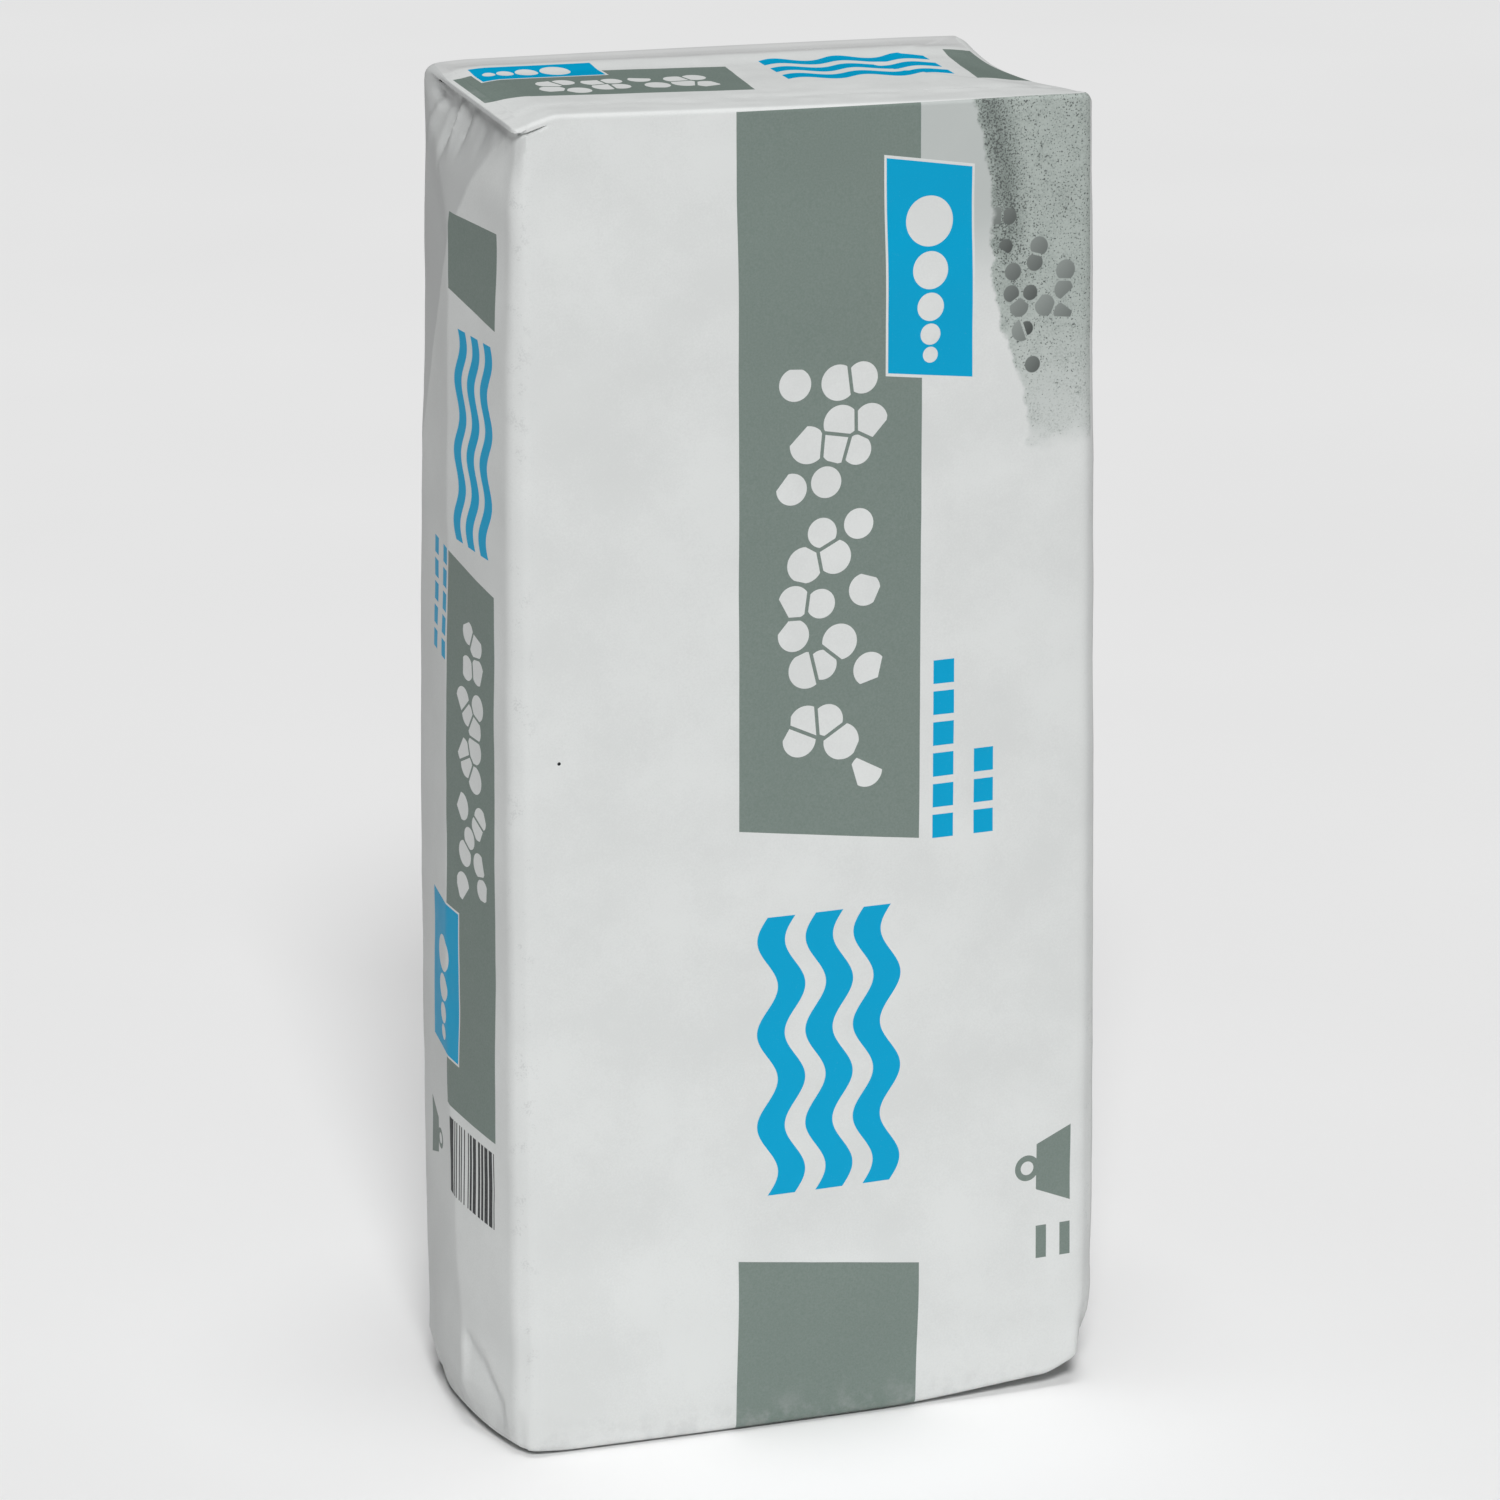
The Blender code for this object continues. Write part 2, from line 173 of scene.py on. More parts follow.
def half_depth_back(level):
    return HALF_DEPTH - TOP_BACK_LOSS * smooth((level - BACK_LOSS_FROM) / BACK_LOSS_LENGTH)


print("width at half height", round(half_width_left(0.5) + half_width_right(0.5), 4))

# %% [markdown]
# ## The end panels
#
# The top panel isn't level. It falls towards the front and the right, the emptier narrow side is
# drawn in under its right end, and the corner of the lip droops over the front. The foot is flat
# where the weight presses it down and lifts towards the short edges, most at its front right
# corner. Height functions of (x, y) serve the skin, the strips and the sleeve alike, so the pieces
# lie on each other without fitting.

# %% Heights of the end panels
TOP_SLOPE_RIGHT = 0.0049
TOP_SLOPE_FRONT_LEFT = 0.0017
TOP_SLOPE_FRONT_RIGHT = 0.0052
TOP_SAG = 0.0030
TOP_SAG_LENGTH = 0.030
TOP_SAG_CENTRE = -0.022
DRAWN_IN = 0.0128
DRAWN_IN_CENTRE = 0.010
DRAWN_IN_FRONT = 0.071
DRAWN_IN_BACK = 0.110
DRAWN_IN_HEIGHT = 0.075
DRAWN_IN_SHARE = 0.4
DROOP_BACK = 0.0010
DROOP_FRONT = 0.0053
DROOP_FROM_Y = 0.0375
DROOP_TO_Y = -0.0574
DROOP_INNER_X = -0.1060
DROOP_OUTER_X = -0.1225
DROOP_POWER = 1.3
FOOT_FLAT_LEFT = -0.104
FOOT_FLAT_RIGHT = 0.026
FOOT_LIFT_LEFT = 0.0012
FOOT_LIFT_RIGHT = 0.0052
FOOT_CORNER_LIFT = 0.0065
FOOT_CORNER_X = 0.101
FOOT_CORNER_X_LENGTH = 0.022
FOOT_CORNER_Y = -0.028
FOOT_CORNER_Y_LENGTH = 0.034


def ripples(x, y, z, size, shift):
    """Smooth noise from -1 to 1 whose waves are about twice size metres long."""
    places = np.stack(np.broadcast_arrays(x, y, z), -1).reshape(-1, 3) / size + shift
    values = [noise.noise(Vector(place)) for place in places]
    return np.array(values).reshape(np.broadcast(x, y, z).shape)


def drawn_in(y, level):
    """How far the right end is drawn in at a place of its depth and height."""
    reach = np.where(y > DRAWN_IN_CENTRE, DRAWN_IN_BACK, DRAWN_IN_FRONT)
    across = smooth(1.0 - np.abs(y - DRAWN_IN_CENTRE) / reach)
    return DRAWN_IN * across * smooth(1.0 - HEIGHT * (1.0 - level) / DRAWN_IN_HEIGHT)


def top_end(y):
    """Where the top panel ends at the right."""
    return half_width_right(1.0) - drawn_in(y, 1.0)


def top_height(x, y):
    to_right = 0.5 + 0.5 * x / HALF_WIDTH
    to_front = 0.5 - 0.5 * y / HALF_DEPTH
    fall = TOP_SLOPE_RIGHT * to_right
    fall = fall + blend(TOP_SLOPE_FRONT_LEFT, TOP_SLOPE_FRONT_RIGHT, to_right) * to_front
    reach = np.where(y > TOP_SAG_CENTRE, HALF_DEPTH - TOP_SAG_CENTRE, HALF_DEPTH + TOP_SAG_CENTRE)
    across = smooth(1.0 - np.abs(y - TOP_SAG_CENTRE) / reach)
    sag = TOP_SAG * across * smooth(1.0 - (top_end(y) - x) / TOP_SAG_LENGTH)
    along_lip = np.clip((DROOP_FROM_Y - y) / (DROOP_FROM_Y - DROOP_TO_Y), 0.0, 1.0)
    over_lip = np.clip((DROOP_INNER_X - x) / (DROOP_INNER_X - DROOP_OUTER_X), 0.0, 1.0)
    droop = blend(DROOP_BACK, DROOP_FRONT, along_lip) * over_lip**DROOP_POWER
    return HEIGHT - fall - sag - droop


def foot_height(x):
    right = smooth((x - FOOT_FLAT_RIGHT) / (HALF_WIDTH - FOOT_FLAT_RIGHT))
    left = smooth((FOOT_FLAT_LEFT - x) / (HALF_WIDTH + FOOT_FLAT_LEFT))
    return FOOT_LIFT_RIGHT * right + FOOT_LIFT_LEFT * left


def foot_surface(x, y):
    """The underside of the skin, whose front right corner lifts a little more."""
    to_right = smooth((x - FOOT_CORNER_X) / FOOT_CORNER_X_LENGTH)
    to_front = smooth((FOOT_CORNER_Y - y) / FOOT_CORNER_Y_LENGTH)
    return foot_height(x) + FOOT_HEIGHT + FOOT_CORNER_LIFT * to_right * to_front


panel_corners = [(x, y) for x in (-0.12, 0.11) for y in (-0.057, 0.048)]
print("top corners", [round(float(top_height(x, y)), 4) for x, y in panel_corners])

# %% [markdown]
# ## One level section of the sack
#
# Every point of the wall starts as a place (s, t) on the edge of a square from -1 to 1. The
# section turns it into a rounded rectangle with bulging faces and ridged narrow sides. A lofted
# curve would do too, but a function of (s, t) and height can be cut as finely as each use needs:
# coarsely for the cloth simulation, finely for the finished skin.

# %% The section
LIP_CORNER_RADIUS = 0.0025
ON_EDGE = 0.9999
TOP_CREASE = 0.053
SHARPER_FROM = 0.8
SHARPER_LENGTH = 0.2
BULGE_AT_ENDS = 0.4
BULGE_RISE = 8.0
BULGE_FALL = 5.0


def section(s, t, level, on_lip):
    """Points (x, y) and outward directions of the level section at a share of the height."""
    left, right, back = half_width_left(level), half_width_right(level), half_depth_back(level)
    low_radius = np.where(t < 0.0, FRONT_EDGE_RADIUS, LONG_EDGE_RADIUS)
    high_radius = np.where(t < 0.0, TOP_FRONT_EDGE_RADIUS, TOP_LONG_EDGE_RADIUS)
    radius = blend(low_radius, high_radius, smooth((level - SHARPER_FROM) / SHARPER_LENGTH))
    radius = np.where(on_lip & (s < 0.0) & (t < 0.0), LIP_CORNER_RADIUS, radius)
    x = s * np.where(s > 0.0, right, left)
    y = t * np.where(t > 0.0, back, HALF_DEPTH)
    centre_x = np.clip(x, radius - left, right - radius)
    centre_y = np.clip(y, radius - HALF_DEPTH, back - radius)
    length = np.hypot(x - centre_x, y - centre_y)
    out_x, out_y = (x - centre_x) / length, (y - centre_y) / length
    fullness = smooth(np.minimum(BULGE_RISE * level, BULGE_FALL * (1.0 - level)))
    bulge = FACE_BULGE * (1.0 - s * s) * blend(BULGE_AT_ENDS, 1.0, fullness)
    bulge = bulge * (np.abs(t) > ON_EDGE)
    to_end = np.minimum(HEIGHT * level / CREASE_LENGTH, HEIGHT * (1.0 - level) / TOP_CREASE)
    ridge = FOLD_RIDGE * np.clip(np.minimum(1.0 - np.abs(t), to_end), 0.0, 1.0)
    swell = np.where(s > 0.0, RIGHT_SWELL, LEFT_SWELL)
    swell = swell * np.clip(1.0 - level / SWELL_SHARE, 0.0, 1.0)
    ridge = (ridge + swell * (1.0 - t * t)) * (np.abs(s) > ON_EDGE)
    x = centre_x + radius * out_x + np.sign(s) * ridge
    y = centre_y + radius * out_y + np.sign(t) * bulge
    x = x - drawn_in(y, level) * smooth((s - 1.0 + DRAWN_IN_SHARE) / DRAWN_IN_SHARE)
    return x, y, out_x, out_y


front = section(np.array([0.0]), np.array([-1.0]), np.array([0.5]), np.array([False]))
print("front face stands at y", round(float(front[1][0]), 4))

# %% [markdown]
# ## Rings of the wall
#
# The wall is a stack of rings. Near the foot they follow a rounded edge, up the body they are
# evenly spaced, and near the top they crowd together, because the lip is only 1.6 mm thick. Under
# the lip the wall steps back, and in the middle of it a slot runs into the sack for the valve
# sleeve. A ring holds its share of the height, its rise above the foot or drop below the top, and
# the drop and the inset that it has inside the slot.

# %% The rings
BODY_RINGS = 166
FIRST_RING = 0.032
LAST_RING = 0.92
LIP_THICKNESS = 0.0016
LIP_OVERHANG = 0.0027
LIP_FADE = 0.032
LIP_FULL = 0.30
LIP_END = 0.95
SLOT_BOTTOM = 0.0032
SLOT_DEPTH = 0.1133
SLOT_HALF_DEPTH = 0.0363



def foot_rings(rises):
    """Rings round the foot's rounded edge, at shares of its radius above the floor."""
    return [(0.0, rise, 0.0, 0.0) for rise in rises]


def body_rings(count):
    first, run = FIRST_RING, LAST_RING - FIRST_RING
    return [(first + run * index / count, 0.0, 0.0, 0.0) for index in range(count + 1)]


def top_rings(drops):
    return [(1.0, drop, drop, 0.0) for drop in drops]


# Tenths of a millimetre from the top down: steps that grow with the distance from the lip
drops_below_lip = np.cumsum([37, 6, 8, *range(10, 29)]) / 10000
slot_rings = [
    (1.0, 0.0032, SLOT_BOTTOM, 0.0),
    (1.0, 0.0028, SLOT_BOTTOM, SLOT_DEPTH),
    (1.0, 0.0021, LIP_THICKNESS, SLOT_DEPTH),
    (1.0, 0.0016, LIP_THICKNESS, 0.0),
]
rings = foot_rings((0.0, 0.03, 0.12, 0.26, 0.45, 0.7, 1.0)) + body_rings(BODY_RINGS)
rings += top_rings(drops_below_lip[::-1].tolist()) + slot_rings
rings += top_rings((0.0012, 0.0008, 0.0004, 0.0001, 0.0))
print("rings", len(rings))

# %% [markdown]
# ## From rings to points
#
# The lip's edge has its own profile: level for the thickness of the folded paper, a quick step
# back, and a slow return to the wall below. The other edges are plainly rounded, slack at the
# right and tight along the top's front. Three corners of the foot are tucked in, as the folded
# block leaves them emptier. Creases and dents come in as an offset along the outward direction,
# so that they never change where a ring lies.

# %% Wall points
LIP_STEP = 0.0010
LIP_ROUNDING = 0.0004
FOOT_TUCK = 0.0068
FOOT_TUCK_HEIGHT = 0.034
REAR_TUCK = 0.0034
REAR_TUCK_HEIGHT = 0.015
FOOT_TUCK_FROM = 0.08
FOOT_TUCK_FADE = 0.80
REAR_TUCK_FROM = 0.25
REAR_TUCK_FADE = 0.50


def rounded_inset(drop, radius):
    reach = radius - np.minimum(drop, radius)
    return radius - np.sqrt(np.maximum(radius**2 - reach**2, 0.0))


def lip_inset(drop):
    """How far the lip's edge and the wall under it stand back from the section."""
    edge = rounded_inset(drop, LIP_ROUNDING)
    back = LIP_OVERHANG * smooth((drop - LIP_THICKNESS) / LIP_STEP)
    return edge + back * smooth(1.0 - (drop - SLOT_BOTTOM) / LIP_FADE)


def foot_tuck(t, out_x, height):
    """How far the right corners and the rear left corner of the foot are tucked in at a height."""
    right = smooth((np.abs(t) - FOOT_TUCK_FROM) / FOOT_TUCK_FADE)
    right = right * np.clip(1.0 - height / FOOT_TUCK_HEIGHT, 0.0, 1.0) ** 2
    rear_left = smooth((t - REAR_TUCK_FROM) / REAR_TUCK_FADE)
    rear_left = rear_left * np.clip(1.0 - height / REAR_TUCK_HEIGHT, 0.0, 1.0)
    return FOOT_TUCK * smooth(out_x) * right + REAR_TUCK * smooth(-out_x) * rear_left


def wall_points(s, t, ring, detail=None):
    """Points of the wall for arrays of places and one ring, as an array of (x, y, z)."""
    share, above, slot_drop, slot_inset = ring
    at_foot = share == 0.0
    in_slot = (s < -ON_EDGE) & (np.abs(t) * HALF_DEPTH < SLOT_HALF_DEPTH)
    drop = above if share == 1.0 else HEIGHT * (1.0 - share)
    if share == 1.0:
        drop = np.where(in_slot, slot_drop, drop)
    drop = np.broadcast_to(drop, s.shape)
    level = np.minimum(share, 1.0 - drop / HEIGHT)
    x, y, out_x, out_y = section(s, t, level, drop <= LIP_THICKNESS + 1e-6)
    right_edge = FOOT_RIGHT_EDGE_RADIUS if at_foot else TOP_RIGHT_EDGE_RADIUS
    edge = blend(END_EDGE_RADIUS, right_edge, smooth(out_x))
    if not at_foot:
        edge = blend(edge, TOP_FRONT_ROUNDING, smooth(-out_y))
    lift = above * edge if at_foot else np.zeros(s.shape)
    inset = rounded_inset(lift if at_foot else drop, edge)
    if share > 0.5:
        at_lip = smooth(-out_x) * smooth((LIP_END - t) / (LIP_END - LIP_FULL))
        inset = blend(inset, lip_inset(drop), at_lip)
        inset = inset + np.where(in_slot, slot_inset, 0.0)
    height = HEIGHT * share + lift
    inset = inset + foot_tuck(t, out_x, height)
    if detail is not None:
        inset = inset - detail(x, y, s, t, drop, height) * (slot_inset == 0.0)
    x, y = x - out_x * inset, y - out_y * inset
    low = foot_surface(x, y)
    if share == 1.0:
        z = top_height(x, y) - drop
    else:
        z = low + (top_height(x, y) - low) * share + lift
    return np.stack((x, y, z), -1)


def panel_points(s, t, ring, detail, surface):
    """Points inside an end panel: its edge drawn in towards the middle."""
    reach = np.maximum(np.maximum(np.abs(s), np.abs(t)), 1e-6)
    edge = wall_points(s / reach, t / reach, ring, detail)
    x, y = edge[..., 0] * reach, edge[..., 1] * reach
    return np.stack((x, y, surface(x, y)), -1)


sample_drops = np.array([0.001, 0.003, 0.010])
print("lip inset mm at 1, 3 and 10 mm down", np.round(lip_inset(sample_drops) * 1000, 2))

# %% [markdown]
# ## A closed mesh from the rings
#
# The rings are joined by quads all round, and each end is closed by a grid whose border is the
# end ring itself, so the sack is one watertight body. Spin or bridge tools could close the ends,
# but a grid keeps the quads square, which shades evenly and suits the cloth simulation. The number
# of quads across is odd, so that no point of a grid lies at its very centre, which has no edge
# of its own to be drawn in from.

# %% Grid helpers
def places(half, pieces, corner_steps):
    """Cuts from -1 to 1: even along the flat, at even angles round each rounded corner."""
    share = LONG_EDGE_RADIUS / half
    flat = 1.0 - share
    middle = [-flat + 2.0 * flat * index / pieces for index in range(pieces + 1)]
    turns = [math.radians(45) * step / corner_steps for step in range(1, corner_steps + 1)]
    corner = [flat + share * math.tan(turn) for turn in turns]
    return np.array([-place for place in reversed(corner)] + middle + corner)


def border(across, along):
    """(s, t) once round the square, starting at the front left corner and going right."""
    front_row = [(s, -1.0) for s in across[:-1]]
    right_row = [(1.0, t) for t in along[:-1]]
    back_row = [(s, 1.0) for s in across[:0:-1]]
    left_row = [(-1.0, t) for t in along[:0:-1]]
    return np.array(front_row + right_row + back_row + left_row)


def panel_ids(count_s, count_t, ring_start, inner_start):
    """The vertex number of every grid place of an end panel."""
    ids = np.zeros((count_s, count_t), int)
    last_s, last_t = count_s - 1, count_t - 1
    ids[:last_s, 0] = ring_start + np.arange(last_s)
    ids[last_s, :last_t] = ring_start + last_s + np.arange(last_t)
    ids[last_s:0:-1, last_t] = ring_start + last_s + last_t + np.arange(last_s)
    ids[0, last_t:0:-1] = ring_start + 2 * last_s + last_t + np.arange(last_t)
    inner = np.arange((count_s - 2) * (count_t - 2)).reshape(count_s - 2, -1)
    ids[1:-1, 1:-1] = inner_start + inner
    return ids


def grid_faces(ids):
    corners = (ids[:-1, :-1], ids[1:, :-1], ids[1:, 1:], ids[:-1, 1:])
    return np.stack(corners, -1).reshape(-1, 4)


def add_mesh(name, points, faces, smooth_angle=math.radians(40)):
    mesh = bpy.data.meshes.new(name)
    mesh.from_pydata(np.asarray(points).tolist(), [], np.asarray(faces).tolist())
    mesh.shade_smooth()
    mesh.set_sharp_from_angle(angle=smooth_angle)
    return add_object(name, mesh)


def closed_skin(name, across, along, ring_list, detail=None, top=top_height):
    """The whole sack as one closed mesh, and the wall's points as rings by places."""
    edge = border(across, along)
    s, t = edge[:, 0], edge[:, 1]
    wall = np.stack([wall_points(s, t, ring, detail) for ring in ring_list])
    inner_s, inner_t = np.meshgrid(across[1:-1], along[1:-1], indexing="ij")
    foot_points = panel_points(inner_s, inner_t, ring_list[0], detail, foot_surface).reshape(-1, 3)
    top_points = panel_points(inner_s, inner_t, ring_list[-1], detail, top).reshape(-1, 3)
    count, around = len(ring_list), len(edge)
    ids = np.arange(count * around).reshape(count, around)
    wall_ids = np.concatenate((ids, ids[:, :1]), 1)
    walls = grid_faces(wall_ids.T)
    foot_ids = panel_ids(len(across), len(along), 0, count * around)
    top_start = count * around + len(foot_points)
    top_ids = panel_ids(len(across), len(along), (count - 1) * around, top_start)
    faces = np.concatenate((walls, grid_faces(foot_ids)[:, ::-1], grid_faces(top_ids)))
    points = np.concatenate((wall.reshape(-1, 3), foot_points, top_points))
    return add_mesh(name, points, faces), wall


FACES, SIDES, TOP, FOOT = range(4)


def skin_regions(across, along, ring_count):
    """The region of each face of a closed skin, in the order of its faces."""
    wide, deep = len(across) - 1, len(along) - 1
    once_round = np.repeat((FACES, SIDES, FACES, SIDES), (wide, deep, wide, deep))
    wall = np.repeat(once_round, ring_count - 1)
    return np.concatenate((wall, np.full(wide * deep, FOOT), np.full(wide * deep, TOP)))


across = places(HALF_WIDTH, 109, 7)
along = places(HALF_DEPTH, 46, 7)
print("places round the wall", len(border(across, along)))

# %% [markdown]
# ## Creases and dents of the paper
#
# Stiff paper doesn't stretch, so it buckles: gathers hang under the lip where the sleeve draws it
# in, a crack opens beside the lip's corner, and above the foot the fold line of each narrow side
# bends forward over a slanted facet. The glued seam of the tube is a fine step up the back. These
# are placed as offsets in metres along the wall's outward direction. Sculpting would give the same
# dents, but numbers can be read and changed.

# %% Placed creases
GATHERS = (
    ((0.034, 0.0070), (0.014, 0.0100), 0.0040, -0.0017),
    ((0.024, 0.0090), (0.039, 0.0290), 0.0052, 0.0018),
    ((0.012, 0.0070), (0.022, 0.0330), 0.0040, -0.0026),
    ((0.004, 0.0065), (0.011, 0.0270), 0.0036, 0.0019),
    ((-0.004, 0.0060), (0.002, 0.0250), 0.0034, -0.0018),
    ((-0.013, 0.0060), (-0.006, 0.0190), 0.0042, 0.0007),
    ((-0.024, 0.0075), (-0.017, 0.0200), 0.0050, -0.0009),
    ((-0.036, 0.0065), (-0.030, 0.0150), 0.0050, 0.0006),
)
CRACK_DEPTH = 0.0032
CRACK_DROP = 0.0026
CRACK_FROM_X = -0.1105
CRACK_WIDTHS = (0.0018, 0.0010)
GATHERS_FROM = 0.0024
FOOT_CREASE_T = (-1.0, -0.967, -0.55, -0.27)
FOOT_CREASE_H = (0.004, 0.0078, 0.034, 0.044)
FOOT_FACET_DEPTH = 0.0020
FACET_FROM = 0.014
FACET_RIM = 0.004
FACET_FADE = 0.028
FACET_SIDE_FADE = 0.06
FOOT_CREASES_TOP = 0.3
FOLD_BEND_H = (0.040, 0.073, 0.095, 0.165)
FOLD_BEND_T = (-0.28, -0.19, -0.155, 0.0)
SEAM_LEFT_X = 0.010
SEAM_WIDTH = 0.030
SEAM_STEP = 0.0005
SEAM_FADES = (0.0012, 0.012)
END_FADE = 0.006


def bump(value):
    """1 at 0, falling to 0 at -1 and 1."""
    return smooth(1.0 - np.abs(value))


def fold(u, v, start, end, width, depth):
    """A fold from start to end, deepest a third of the way along, that tapers to both ends."""
    run_u, run_v = end[0] - start[0], end[1] - start[1]
    share = ((u - start[0]) * run_u + (v - start[1]) * run_v) / (run_u**2 + run_v**2)
    aside = np.hypot(u - start[0] - share * run_u, v - start[1] - share * run_v)
    taper = smooth((share + 0.25) / 0.45) * smooth((1.25 - share) / 0.85)
    return depth * bump(aside / width) * taper


def placed_creases(x, y, s, t, drop, height):
    on_side = np.abs(s) > ON_EDGE
    left = on_side & (s < 0.0)
    gathers = sum(fold(y, drop, *gather) for gather in GATHERS)
    gathers = np.where(left, gathers * smooth((drop - GATHERS_FROM) / 0.003), 0.0)
    peak = np.interp(height, FOLD_BEND_H, FOLD_BEND_T)
    bent = np.where(t < peak, (1.0 + t) / (1.0 + peak), (1.0 - t) / (1.0 - peak))
    to_end = np.clip(height / CREASE_LENGTH, 0.0, 1.0)
    full_from = blend(FACET_FROM, CREASE_LENGTH, smooth((t - peak) / 0.90))
    bent = np.minimum(bent, np.clip(height / full_from, 0.0, 1.0))
    bend = FOLD_RIDGE * (bent - np.minimum(1.0 - np.abs(t), to_end))
    below = np.interp(t, FOOT_CREASE_T, FOOT_CREASE_H) - height
    facet = np.clip(1.0 - (below - FACET_RIM) / FACET_FADE, 0.0, 1.0) * smooth(below / FACET_RIM)
    facet = facet * smooth((peak - t) / FACET_SIDE_FADE) * smooth((t + 1.0) / FACET_SIDE_FADE)
    near_foot = on_side & (height < FOOT_CREASES_TOP)
    foot_fold = np.where(near_foot, bend - FOOT_FACET_DEPTH * facet, 0.0)
    front_corner = (t < -ON_EDGE) & (s < 0.0)
    crack = bump((drop - CRACK_DROP) / np.where(drop > CRACK_DROP, *CRACK_WIDTHS))
    crack = CRACK_DEPTH * crack * smooth((CRACK_FROM_X - x) / 0.004)
    crack = np.where(front_corner, -crack, 0.0)
    seam = smooth((x - SEAM_LEFT_X) / SEAM_FADES[0])
    seam = seam * smooth((SEAM_LEFT_X + SEAM_WIDTH - x) / SEAM_FADES[1])
    seam = SEAM_STEP * seam * smooth(drop / END_FADE) * smooth(height / END_FADE)
    seam = np.where(t > ON_EDGE, seam, 0.0)
    return gathers + foot_fold + crack + seam


print("gathers", len(GATHERS), "crack", CRACK_DEPTH * 1000, "mm")

# %% [markdown]
# ## Dents by cloth simulation
#
# The rest of the buckling isn't planned, so a simulation finds it. A coarser copy of the sack is
# pinned at both ends, grown by 0.6 percent so that it has too much paper, and pressed out from
# inside by the mix. A weak hold on every point stands for the mix behind the paper, and stiff
# bending makes wide buckles instead of the small wrinkles of cloth. Only the dents are kept, at a
# share of their depth: the slow swelling is taken away, because the size is already right.

# %% Simulate the coarse sack
SIM_FRAMES = 20
MIX_HOLD = 0.12
DENT_SHARE = 0.22
DENT_CAP = 0.0012
SWELLING_BLUR = 60
SPARE_PAPER = 0.006
PINNED_FOOT_RINGS = 3
PINNED_TOP_RINGS = 6
COARSE_BODY_RINGS = 92
CLOTH = {
    "quality": 6,
    "mass": 0.15,
    "tension_stiffness": 60.0,
    "compression_stiffness": 60.0,
    "shear_stiffness": 30.0,
    "bending_stiffness": 15.0,
    "shrink_min": -SPARE_PAPER,
    "use_pressure": True,
    "uniform_pressure_force": 3.0,
    "vertex_group_mass": "pins",
}
coarse_across = places(HALF_WIDTH, 45, 3)
coarse_along = places(HALF_DEPTH, 18, 3)
coarse_rings = foot_rings((0.0, 0.4, 1.0)) + body_rings(COARSE_BODY_RINGS)
coarse_rings += top_rings((0.037, 0.031, 0.025, 0.019, 0.013, 0.008, 0.004, 0.0016, 0.0))


def simulate_swelling():
    """How far each place of the coarse wall moves outward, one row for each ring."""
    blank, wall = closed_skin("paper_blank", coarse_across, coarse_along, coarse_rings)
    count, around = wall.shape[:2]
    vertex_count = len(blank.data.vertices)
    pins = blank.vertex_groups.new(name="pins")
    top_start = (count - PINNED_TOP_RINGS) * around
    pinned = [*range(PINNED_FOOT_RINGS * around), *range(top_start, vertex_count)]
    pins.add(list(range(vertex_count)), MIX_HOLD, "REPLACE")
    pins.add(pinned, 1.0, "REPLACE")
    cloth = blank.modifiers.new("paper", "CLOTH")
    for setting, value in CLOTH.items():
        setattr(cloth.settings, setting, value)
    cloth.settings.effector_weights.gravity = 0.0
    cloth.point_cache.frame_start = 1
    cloth.point_cache.frame_end = SIM_FRAMES
    scene = bpy.context.scene
    for step in range(1, SIM_FRAMES + 1):
        scene.frame_set(step)
    settled = blank.evaluated_get(bpy.context.evaluated_depsgraph_get())
    flat = np.zeros(vertex_count * 3)
    settled.data.vertices.foreach_get("co", flat)
    moved = flat.reshape(-1, 3)[: count * around].reshape(wall.shape) - wall
    edge = border(coarse_across, coarse_along)
    level = wall[..., 2] / HEIGHT
    out = section(edge[:, 0][None], edge[:, 1][None], level, level > 2.0)[2:]
    scene.frame_set(1)
    bpy.data.objects.remove(blank)
    return moved[..., 0] * out[0] + moved[..., 1] * out[1]


def blurred(rows, passes):
    """Averages each value with its neighbours, round the wall and up it, passes times."""
    for _ in range(passes):
        up = np.concatenate((rows[:1], rows[:-1]))
        down = np.concatenate((rows[1:], rows[-1:]))
        rows = (2.0 * rows + np.roll(rows, 1, 1) + np.roll(rows, -1, 1) + up + down) / 6.0
    return rows


swelling = simulate_swelling()
dents = swelling - blurred(swelling, SWELLING_BLUR)
print("swelling mm", np.round(np.percentile(swelling, (1, 50, 99)) * 1000, 2))
print("dents mm", np.round(np.percentile(dents, (1, 50, 99)) * 1000, 2))
dents = DENT_CAP * np.tanh(DENT_SHARE * dents / DENT_CAP)

# %% [markdown]
# ## The finished skin
#
# The dents are read off the coarse wall by distance round the sack and by height, then laid on the
# fine wall together with the placed creases and a little noise for the slack of the paper. A
# subdivision modifier would smooth the coarse mesh as well, but it would also round off the lip.

# %% Offsets of the fine wall
def distance_round(s, t):
    """Distance round the wall from the front left corner, for places on the edge of the square."""
    front_s = (s + 1.0) * HALF_WIDTH
    right_t = 2.0 * HALF_WIDTH + (t + 1.0) * HALF_DEPTH
    back_s = 2.0 * HALF_WIDTH + 2.0 * HALF_DEPTH + (1.0 - s) * HALF_WIDTH
    left_t = 4.0 * HALF_WIDTH + 2.0 * HALF_DEPTH + (1.0 - t) * HALF_DEPTH
    sides = [t < -ON_EDGE, s > ON_EDGE, t > ON_EDGE]
    return np.select(sides, [front_s, right_t, back_s], left_t)


def ring_height(ring):
    if ring[0] == 1.0:
        return HEIGHT - ring[1]
    return HEIGHT * ring[0] + ring[1] * END_EDGE_RADIUS


coarse_edge = border(coarse_across, coarse_along)
coarse_distance = distance_round(coarse_edge[:, 0], coarse_edge[:, 1])
coarse_heights = np.array([ring_height(ring) for ring in coarse_rings])
dents = blurred(dents, 2)


